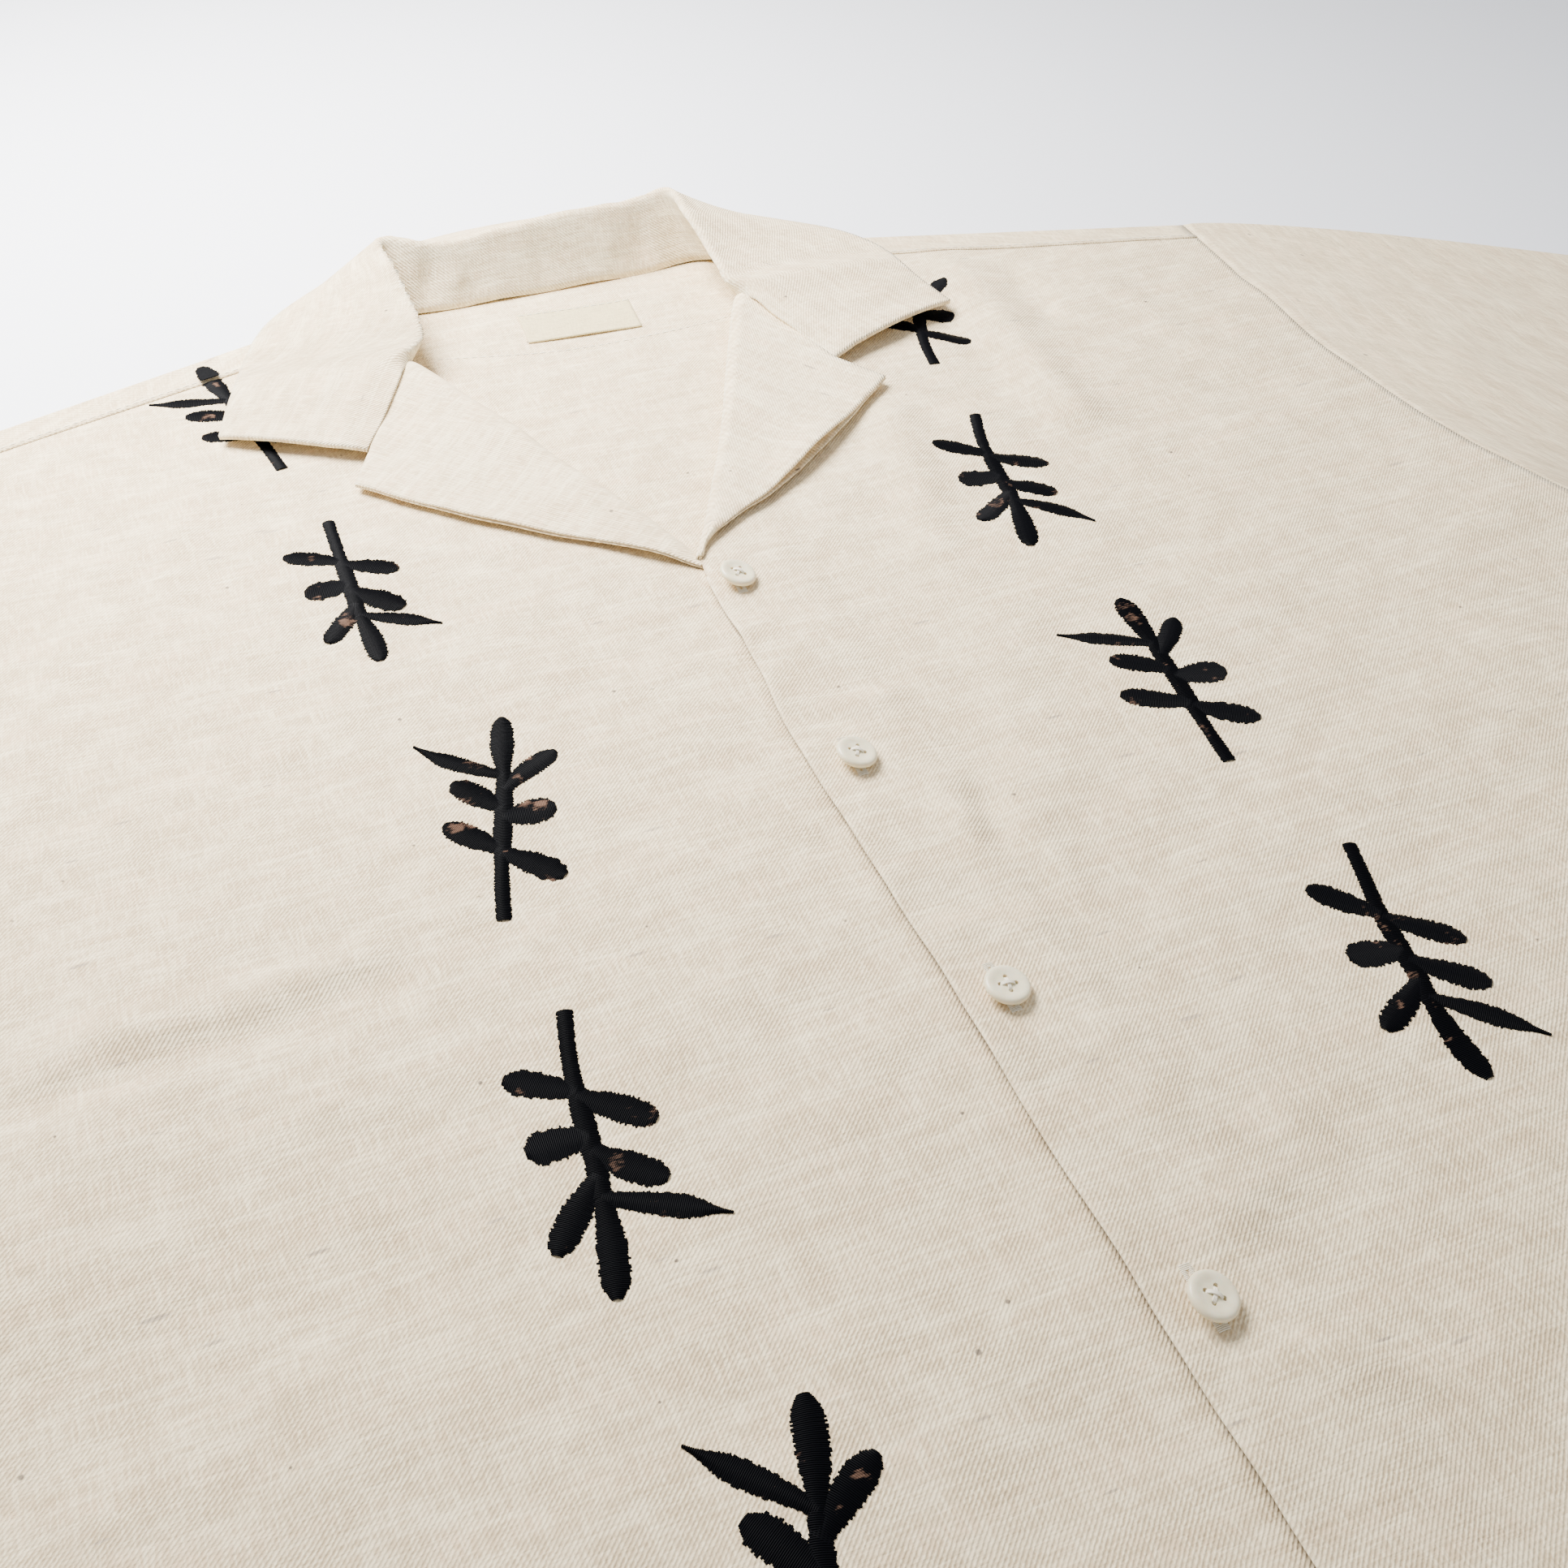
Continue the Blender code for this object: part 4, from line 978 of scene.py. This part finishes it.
def stitch_nodes(name, across):
    """Lays a thread at every pitch along the guide lines: across them for satin, along them for a seam."""
    tree = bpy.data.node_groups.new(name, "GeometryNodeTree")
    for socket, kind in (("Geometry", "Geometry"), ("Cloth", "Object"), ("Pitch", "Float"),
                         ("Thread radius", "Float"), ("Rise", "Float"), ("Thread", "Material"),
                         ("Unevenness", "Float"), ("Seed", "Int")):
        tree.interface.new_socket(socket, in_out="INPUT", socket_type="NodeSocket" + kind)
    tree.interface.new_socket("Geometry", in_out="OUTPUT", socket_type="NodeSocketGeometry")
    given = tree.nodes.new("NodeGroupInput").outputs

    def node(kind, output, inputs=None, **settings):
        return add_node(tree, "GeometryNode" + kind, inputs, **settings).outputs[output]

    def number(operation, a, b=0.0):
        return add_node(tree, "ShaderNodeMath", {0: a, 1: b}, operation=operation).outputs["Value"]

    def vector(operation, a, b):
        return add_node(tree, "ShaderNodeVectorMath", {0: a, 1: b}, operation=operation).outputs["Vector"]

    def along(**axes):
        return add_node(tree, "ShaderNodeCombineXYZ", axes).outputs["Vector"]

    guide = node("MeshToCurve", "Curve", {"Mesh": given["Geometry"]})
    spaced = node("ResampleCurve", "Curve", {"Curve": guide, "Length": given["Pitch"]}, mode="LENGTH")
    aim = node("InputTangent", "Tangent")
    if across:
        aim = vector("CROSS_PRODUCT", (0, 0, 1), aim)
    turn = add_node(tree, "FunctionNodeAlignRotationToVector", {"Vector": aim}, axis="X", pivot_axis="Z")
    limits = {2: number("SUBTRACT", 1.0, given["Unevenness"]), 3: number("ADD", 1.0, given["Unevenness"]),
              "Seed": given["Seed"]}
    wander = add_node(tree, "FunctionNodeRandomValue", limits, data_type="FLOAT").outputs[1]
    half_width = node("InputNamedAttribute", "Attribute", {"Name": "half_width"}, data_type="FLOAT")
    line = node("CurvePrimitiveLine", "Curve", {"Start": (-1, 0, 0), "End": (1, 0, 0)})
    bent = node("ResampleCurve", "Curve", {"Curve": line, "Count": 5 if across else 4}, mode="COUNT")
    laid = node("InstanceOnPoints", "Instances", {
        "Points": spaced, "Instance": bent, "Rotation": turn.outputs["Rotation"],
        "Scale": along(X=number("MULTIPLY", half_width, wander), Y=1.0, Z=1.0)})
    real = node("RealizeInstances", "Geometry", {"Geometry": laid})

    above = vector("ADD", node("InputPosition", "Position"), (0, 0, 0.03))
    under = node("ObjectInfo", "Geometry", {"Object": given["Cloth"]}, transform_space="ORIGINAL")
    down = add_node(tree, "GeometryNodeRaycast", {
        "Target Geometry": under, "Source Position": above, "Ray Direction": (0, 0, -1), "Ray Length": 0.06})
    arch = number("SINE", number("MULTIPLY", node("SplineParameter", "Factor"), math.pi))
    at = vector("ADD", down.outputs["Hit Position"], along(Z=number("MULTIPLY", arch, given["Rise"])))
    rested = node("SetPosition", "Geometry", {
        "Geometry": real, "Selection": down.outputs["Is Hit"], "Position": at})
    ring = node("CurvePrimitiveCircle", "Curve", {"Resolution": 4, "Radius": given["Thread radius"]})
    tube = node("CurveToMesh", "Mesh", {"Curve": rested, "Profile Curve": ring, "Fill Caps": True})
    soft = node("SetShadeSmooth", "Geometry", {"Geometry": tube})
    dyed = node("SetMaterial", "Geometry", {"Geometry": soft, "Material": given["Thread"]})
    add_node(tree, "NodeGroupOutput", {"Geometry": dyed})
    return tree


satin = stitch_nodes("satin stitch", True)
run = stitch_nodes("run stitch", False)


def stitch(name, lines, tree, cloth, thread, pitch, radius, rise, unevenness=0.05, seed=3):
    """Sews guide lines, each a list of (x, y, half width), down on a piece of cloth."""
    spots, edges, widths = [], [], []
    for line in lines:
        start = len(spots)
        spots += [(x, y + TOP_BUTTON_Y, 0.006) for x, y, _ in line]
        widths += [width for _, _, width in line]
        edges += [(start + i, start + i + 1) for i in range(len(line) - 1)]
    data = bpy.data.meshes.new(name)
    data.from_pydata(spots, edges, [])
    data.attributes.new("half_width", "FLOAT", "POINT").data.foreach_set("value", widths)
    data.materials.append(thread)
    piece = put(name, data)
    sewing = piece.modifiers.new("stitches", "NODES")
    sewing.node_group = tree
    values = {"Cloth": cloth, "Pitch": pitch, "Thread radius": radius, "Rise": rise, "Thread": thread,
              "Unevenness": unevenness, "Seed": seed}
    for item in tree.interface.items_tree:
        if item.in_out == "INPUT" and item.name in values:
            sewing[item.identifier] = values[item.name]
    settle(piece)
    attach(piece, "root")
    return piece


def leaf_line(start, angle, length, half_width, pointed, rng):
    """The middle of a leaf from the stem to its tip, a little bent, with its half width."""
    bend = rng.uniform(-LEAF_BEND, LEAF_BEND)
    spots = []
    x, y = start
    step = length / (LEAF_POINTS - 1)
    for t in np.linspace(0, 1, LEAF_POINTS):
        blunt = 0.62 + 0.38 * ease(t / 0.55)
        if t > 0.72:
            blunt = math.sqrt(max(1 - ((t - 0.72) / 0.30) ** 2, 0.03))
        sharp = 0.58 + 0.42 * ease(t / 0.5)
        sharp *= 1 - ease((t - 0.60) / 0.42) * 0.94
        spots.append((x, y, half_width * mix(blunt, sharp, pointed)))
        heading = math.radians(angle + bend * t)
        x += math.sin(heading) * step
        y += math.cos(heading) * step
    return spots


def sprig(x, y, turn, seed):
    """One sprig of seven leaves on a short blunt stem, standing up the cloth before it is turned."""
    rng = np.random.RandomState(seed)
    stem_top = SPRIG_LENGTH * (LEAVES[-1][0] - 0.5)
    stem_foot = -SPRIG_LENGTH * 0.5
    sway = rng.uniform(-STEM_SWAY, STEM_SWAY)
    stem = []
    for t in np.linspace(0, 1, LEAF_POINTS):
        width = STEM_HALF_WIDTH * (1.0 + 0.30 * ease((t - 0.35) / 0.2) - 0.25 * ease((t - 0.8) / 0.2))
        stem.append((sway * math.sin(t * 5), mix(stem_foot, stem_top, t), width))
    lines = [stem]
    for place, side, angle, length, half_width, pointed in LEAVES:
        foot_y = SPRIG_LENGTH * (place - 0.5)
        foot_x = sway * math.sin((foot_y - stem_foot) / (stem_top - stem_foot) * 5)
        lean = (side if side else 1) * (angle + rng.uniform(-LEAF_LEAN, LEAF_LEAN))
        size = length * rng.uniform(0.93, 1.07)
        half = half_width * rng.uniform(0.94, 1.08)
        lines.append(leaf_line((foot_x, foot_y), lean, size, half, pointed, rng))
    c, s = math.cos(math.radians(turn)), math.sin(math.radians(turn))
    return [[(x + px * c - py * s, y + px * s + py * c, w) for px, py, w in line] for line in lines]


def coloured_by(material, value, low, low_colour, high, high_colour):
    """Colours a material from one colour to another between two values."""
    tree = material.node_tree
    ramp = add_node(tree, "ShaderNodeValToRGB", {"Fac": value})
    for stop, position, colour in zip(ramp.color_ramp.elements, (low, high), (low_colour, high_colour)):
        stop.position = position
        stop.color = (*colour, 1)
    tree.links.new(ramp.outputs["Color"], tree.nodes["Principled BSDF"].inputs["Base Color"])


def embroidery_thread():
    """Black rayon with a soft gloss, browner where it is sewn thin."""
    material = plain("black thread", (0, 0, 0), 0.50)
    tree = material.node_tree
    tree.nodes["Principled BSDF"].inputs["Specular IOR Level"].default_value = 0.04
    where = tree.nodes.new("ShaderNodeTexCoord").outputs["Object"]
    shifted = add_node(tree, "ShaderNodeMapping", {"Vector": where, "Location": (0.313, 0.127, 0.0)})
    inputs = {"Vector": shifted.outputs["Vector"], "Scale": 135, "Detail": 2.0}
    patches = add_node(tree, "ShaderNodeTexNoise", inputs)
    strands = add_node(tree, "ShaderNodeMapping", {"Vector": where, "Scale": (0.25, 1.0, 1.0)})
    fibre = add_node(tree, "ShaderNodeTexNoise", {"Vector": strands.outputs["Vector"], "Scale": 1900})
    inputs = {0: fibre.outputs["Fac"], 1: 0.26, 2: patches.outputs["Fac"]}
    both = add_node(tree, "ShaderNodeMath", inputs, operation="MULTIPLY_ADD")
    coloured_by(material, both.outputs["Value"], 0.80, (0.0016, 0.0017, 0.0026), 0.875, (0.13, 0.075, 0.052))
    return material


black_thread = embroidery_thread()
for side in MIRROR:
    lines = []
    for number, (x, y, turn) in enumerate(SPRIGS[side]):
        lines += sprig(x, y, turn, 20 + number * 3 + (side == "right"))
    stitch("embroidery_" + side, lines, satin, fronts[side], black_thread, STITCH_PITCH, THREAD_RADIUS,
           SATIN_RISE, SATIN_UNEVENNESS, 5)


# The buttons: four-hole shirt buttons turned from ivory-coloured corozo, sewn to the under front with
# cream thread through their holes and through the buttonholes of the upper front.
BUTTON_SPACING = 0.088
BUTTON_RADIUS = 0.00575
HOLE_RADIUS = 0.00060
HOLE_OFFSET = 0.00148
THREAD_SPAN = 0.00126
BUTTONS = (
    # x, tilt about X, tilt about Y, turn of its holes, all in degrees but x
    (0.0000, 8.0, 16.0, 12), (0.0004, 6.0, 13.0, 20), (0.0000, 4.0, 9.0, 38), (0.0000, 7.0, 14.0, 8),
    (0.0003, 5.0, 11.0, 27), (-0.0002, 6.0, 12.0, 50),
)
BUTTON_LIFT = 0.8              # how much of its leaning rim is clear of the cloth
BUTTON_PROFILE = (
    # radius, height, from the middle of the top over the rim to the foot
    (0.0, 0.00205), (0.0026, 0.00206), (0.0034, 0.00220), (0.0040, 0.00236), (0.0047, 0.00240),
    (0.0052, 0.00228), (0.00560, 0.00190), (BUTTON_RADIUS, 0.0014), (0.00565, 0.0009), (0.0052, 0.0004),
    (0.0042, 0.0), (0.0, 0.0),
)
THREAD_PATH = (
    # share of the way to its hole, height over the button's foot
    (0.0, 0.00228), (0.5, 0.00222), (0.90, 0.00195), (1.0, 0.0012), (1.0, -0.0014),
)
THREAD_STEP = 0.00026
BUTTON_THREAD_RADIUS = 0.00022
BUNDLES = ((1, 0.00006), (-1, 0.00046))  # which way each crosses, and how high it arches


def corozo():
    material = plain("ivory button", (0.70, 0.635, 0.48), 0.34)
    tree = material.node_tree
    shader = tree.nodes["Principled BSDF"]
    shader.inputs["Subsurface Weight"].default_value = 0.15
    shader.inputs["Subsurface Scale"].default_value = 0.001
    where = tree.nodes.new("ShaderNodeTexCoord").outputs["Object"]
    cloud = add_node(tree, "ShaderNodeTexNoise", {"Vector": where, "Scale": 320}).outputs["Fac"]
    coloured_by(material, cloud, 0.35, (0.78, 0.705, 0.505), 0.70, (0.70, 0.615, 0.41))
    return material


def turned_button(material):
    """A button with its four holes, standing on the origin."""
    steps = 56
    angles = np.linspace(0, 2 * math.pi, steps, endpoint=False)
    rings = [(radius, height) for radius, height in BUTTON_PROFILE if radius > 0]
    spots = [(r * math.cos(a), r * math.sin(a), h) for r, h in rings for a in angles]
    spots += [(0, 0, BUTTON_PROFILE[0][1]), (0, 0, 0)]
    top, foot, last = len(spots) - 2, len(spots) - 1, (len(rings) - 1) * steps
    faces = []
    for i in range(steps):
        j = (i + 1) % steps
        faces += [(k * steps + i, (k + 1) * steps + i, (k + 1) * steps + j, k * steps + j)
                  for k in range(len(rings) - 1)]
        faces += [(top, i, j), (foot, last + j, last + i)]
    data = bpy.data.meshes.new("button")
    data.from_pydata(spots, [], faces)
    data.materials.append(material)
    button = put("button", data)
    drill = bmesh.new()
    for x in (-HOLE_OFFSET, HOLE_OFFSET):
        for y in (-HOLE_OFFSET, HOLE_OFFSET):
            bmesh.ops.create_cone(drill, cap_ends=True, segments=18, radius1=HOLE_RADIUS, radius2=HOLE_RADIUS,
                                  depth=0.01, matrix=Matrix.Translation((x, y, 0.001)))
    bits = bpy.data.meshes.new("drill")
    drill.to_mesh(bits)
    drill.free()
    drills = put("drill", bits)
    cut = button.modifiers.new("holes", "BOOLEAN")
    cut.operation = "DIFFERENCE"
    cut.object = drills
    settle(button)
    bpy.data.objects.remove(drills)
    button.data.shade_smooth()
    button.data.set_sharp_from_angle(angle=math.radians(35))
    return button


def sewn_threads(name, place, material):
    """Two crossing bundles of thread over the middle of a button, down through its holes to the cloth."""
    path = bpy.data.curves.new(name, "CURVE")
    path.dimensions = "3D"
    path.bevel_depth = BUTTON_THREAD_RADIUS
    path.bevel_resolution = 2
    path.use_fill_caps = True
    spots = [(-t, z) for t, z in THREAD_PATH[:0:-1]] + list(THREAD_PATH)
    for way, arch in BUNDLES:
        for side_step in (-THREAD_STEP, 0.0, THREAD_STEP):
            spline = path.splines.new("POLY")
            spline.points.add(len(spots) - 1)
            for point, (t, z) in zip(spline.points, spots):
                rise = arch * max(0.0, 1 - abs(t)) ** 0.5 if z > 0.0015 else 0.0
                across = side_step * 0.7 * (1.0 if abs(t) < 0.95 else 0.8)
                spot = Vector((t * THREAD_SPAN + across, way * (t * THREAD_SPAN - across), z + rise))
                point.co = (*(place @ spot), 1)
    path.materials.append(material)
    threads = put(name, path)
    solid = bpy.data.meshes.new_from_object(threads.evaluated_get(bpy.context.evaluated_depsgraph_get()))
    bpy.data.objects.remove(threads)
    solid.name = name
    solid.shade_smooth()
    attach(put(name, solid), "root")


ivory = corozo()
cream_thread = plain("cream thread", (0.82, 0.75, 0.60), 0.7)
pattern = turned_button(ivory)
for number, (x, tilt_x, tilt_y, holes_turn) in enumerate(BUTTONS):
    node = "button_%d" % (number + 1)
    y = -number * BUTTON_SPACING
    rise = BUTTON_RADIUS * math.sin(math.radians(math.hypot(tilt_x, tilt_y))) * BUTTON_LIFT
    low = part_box(node)[0][2]
    tilt = Euler((math.radians(tilt_x), math.radians(tilt_y), 0)).to_matrix().to_4x4()
    place = (Matrix.Translation((x, y + TOP_BUTTON_Y, low + rise)) @ tilt
             @ Matrix.Rotation(math.radians(holes_turn), 4, "Z"))
    shape = pattern.data.copy()
    shape.transform(place)
    dress(put("shirt_button_%d" % (number + 1), shape), node)
    sewn_threads("button_thread_%d" % (number + 1), place, cream_thread)
bpy.data.objects.remove(pattern)


# The buttonholes: slits along the upper front, each edge covered in close cream satin stitches with a
# bar at both ends. Only the ends show past the buttons.
BUTTONHOLE_LENGTH = 0.0131
BUTTONHOLE_RISE = 0.00185      # how far its middle is above the button's
BUTTONHOLE_EDGE = 0.00085      # from its middle to the middle of the stitches beside it
BUTTONHOLE_SEAM = 0.00055      # half width of those stitches
BUTTONHOLE_BAR = 0.0014        # and of the bars
BUTTONHOLE_PITCH = 0.00036
BUTTONHOLE_THREAD_RADIUS = 0.00017
BUTTONHOLE_STITCH_RISE = 0.00022
buttonholes = []
for number, (x, *_) in enumerate(BUTTONS):
    middle = -number * BUTTON_SPACING + BUTTONHOLE_RISE
    ends = (middle - BUTTONHOLE_LENGTH / 2, middle + BUTTONHOLE_LENGTH / 2)
    for edge in (-BUTTONHOLE_EDGE, BUTTONHOLE_EDGE):
        buttonholes.append([(x + edge, mix(*ends, t), BUTTONHOLE_SEAM) for t in np.linspace(0, 1, 8)])
    for end, way in zip(ends, (-1, 1)):
        buttonholes.append([(x, end + way * t, BUTTONHOLE_BAR) for t in (0.0, 0.0006, 0.0012)])
stitch("buttonholes", buttonholes, satin, fronts["right"], cream_thread, BUTTONHOLE_PITCH,
       BUTTONHOLE_THREAD_RADIUS, BUTTONHOLE_STITCH_RISE, 0.06, 8)


# The seams and hems: cream thread in straight machine stitches beside the forward shoulder seams,
# round the cuffs and along the hem, across the inside of the back, and along the label's top.
SEAM_STITCH = 0.0031
SEAM_STITCH_HALF = 0.00115
SEAM_THREAD_RADIUS = 0.00021
SEAM_RISE = 0.00012
HEM_DEPTH = 0.020
HEM_START = {"right": -0.0085, "left": 0.0120}
CUFF_DEPTH = 0.028
LABEL_SEAM_IN = 0.0012
YOKE_SEAM_IN = 0.0020
INSIDE_SEAM_Y = 0.1622         # lowest point of the curve across the inside of the back


def sew_seam(name, lines, cloth):
    guides = [[(x, y, SEAM_STITCH_HALF) for x, y in line] for line in lines]
    stitch(name, guides, run, cloth, cream_thread, SEAM_STITCH, SEAM_THREAD_RADIUS, SEAM_RISE, 0.05, 4)


def mirrored(line, mirror):
    return [(mirror * x, y) for x, y in line]


hem_y = HEM_Y + HEM_DEPTH
cuff_start = np.array(SHOULDER_POINT) + sleeve_along * (SLEEVE_TOP - CUFF_DEPTH)
cuff_line = [cuff_start + sleeve_down * CUFF_WIDTH * t * 1.03 for t in np.linspace(0.012, 0.985, 60)]
for side, mirror in MIRROR.items():
    hem_xs = np.linspace(HEM_START[side] * mirror, side_x(hem_y) - 0.003, 60)
    hem_line = [(x, hem_y) for x in hem_xs]
    sew_seam("hem_stitches_" + side, [mirrored(hem_line, mirror)], fronts[side])
    sew_seam("cuff_stitches_" + side, [mirrored(cuff_line, mirror)], sleeves[side])
yoke_line = yoke_seam(np.linspace(0.02, 0.985, 60)) + (0, YOKE_SEAM_IN)
inside_xs = np.linspace(-0.050, 0.062, 40)
inside_line = [(x, INSIDE_SEAM_Y + 0.0068 * (x / 0.055 - 0.42) ** 2) for x in inside_xs]
sew_seam("back_stitches", [mirrored(yoke_line, 1), mirrored(yoke_line, -1), inside_line], back)
label_top = np.array(LABEL_CENTRE) + label_up * (LABEL_SIZE[1] / 2 - LABEL_SEAM_IN)
label_line = [label_top + label_across * LABEL_SIZE[0] * t for t in np.linspace(-0.47, 0.47, 20)]
sew_seam("label_stitches", [label_line], label)
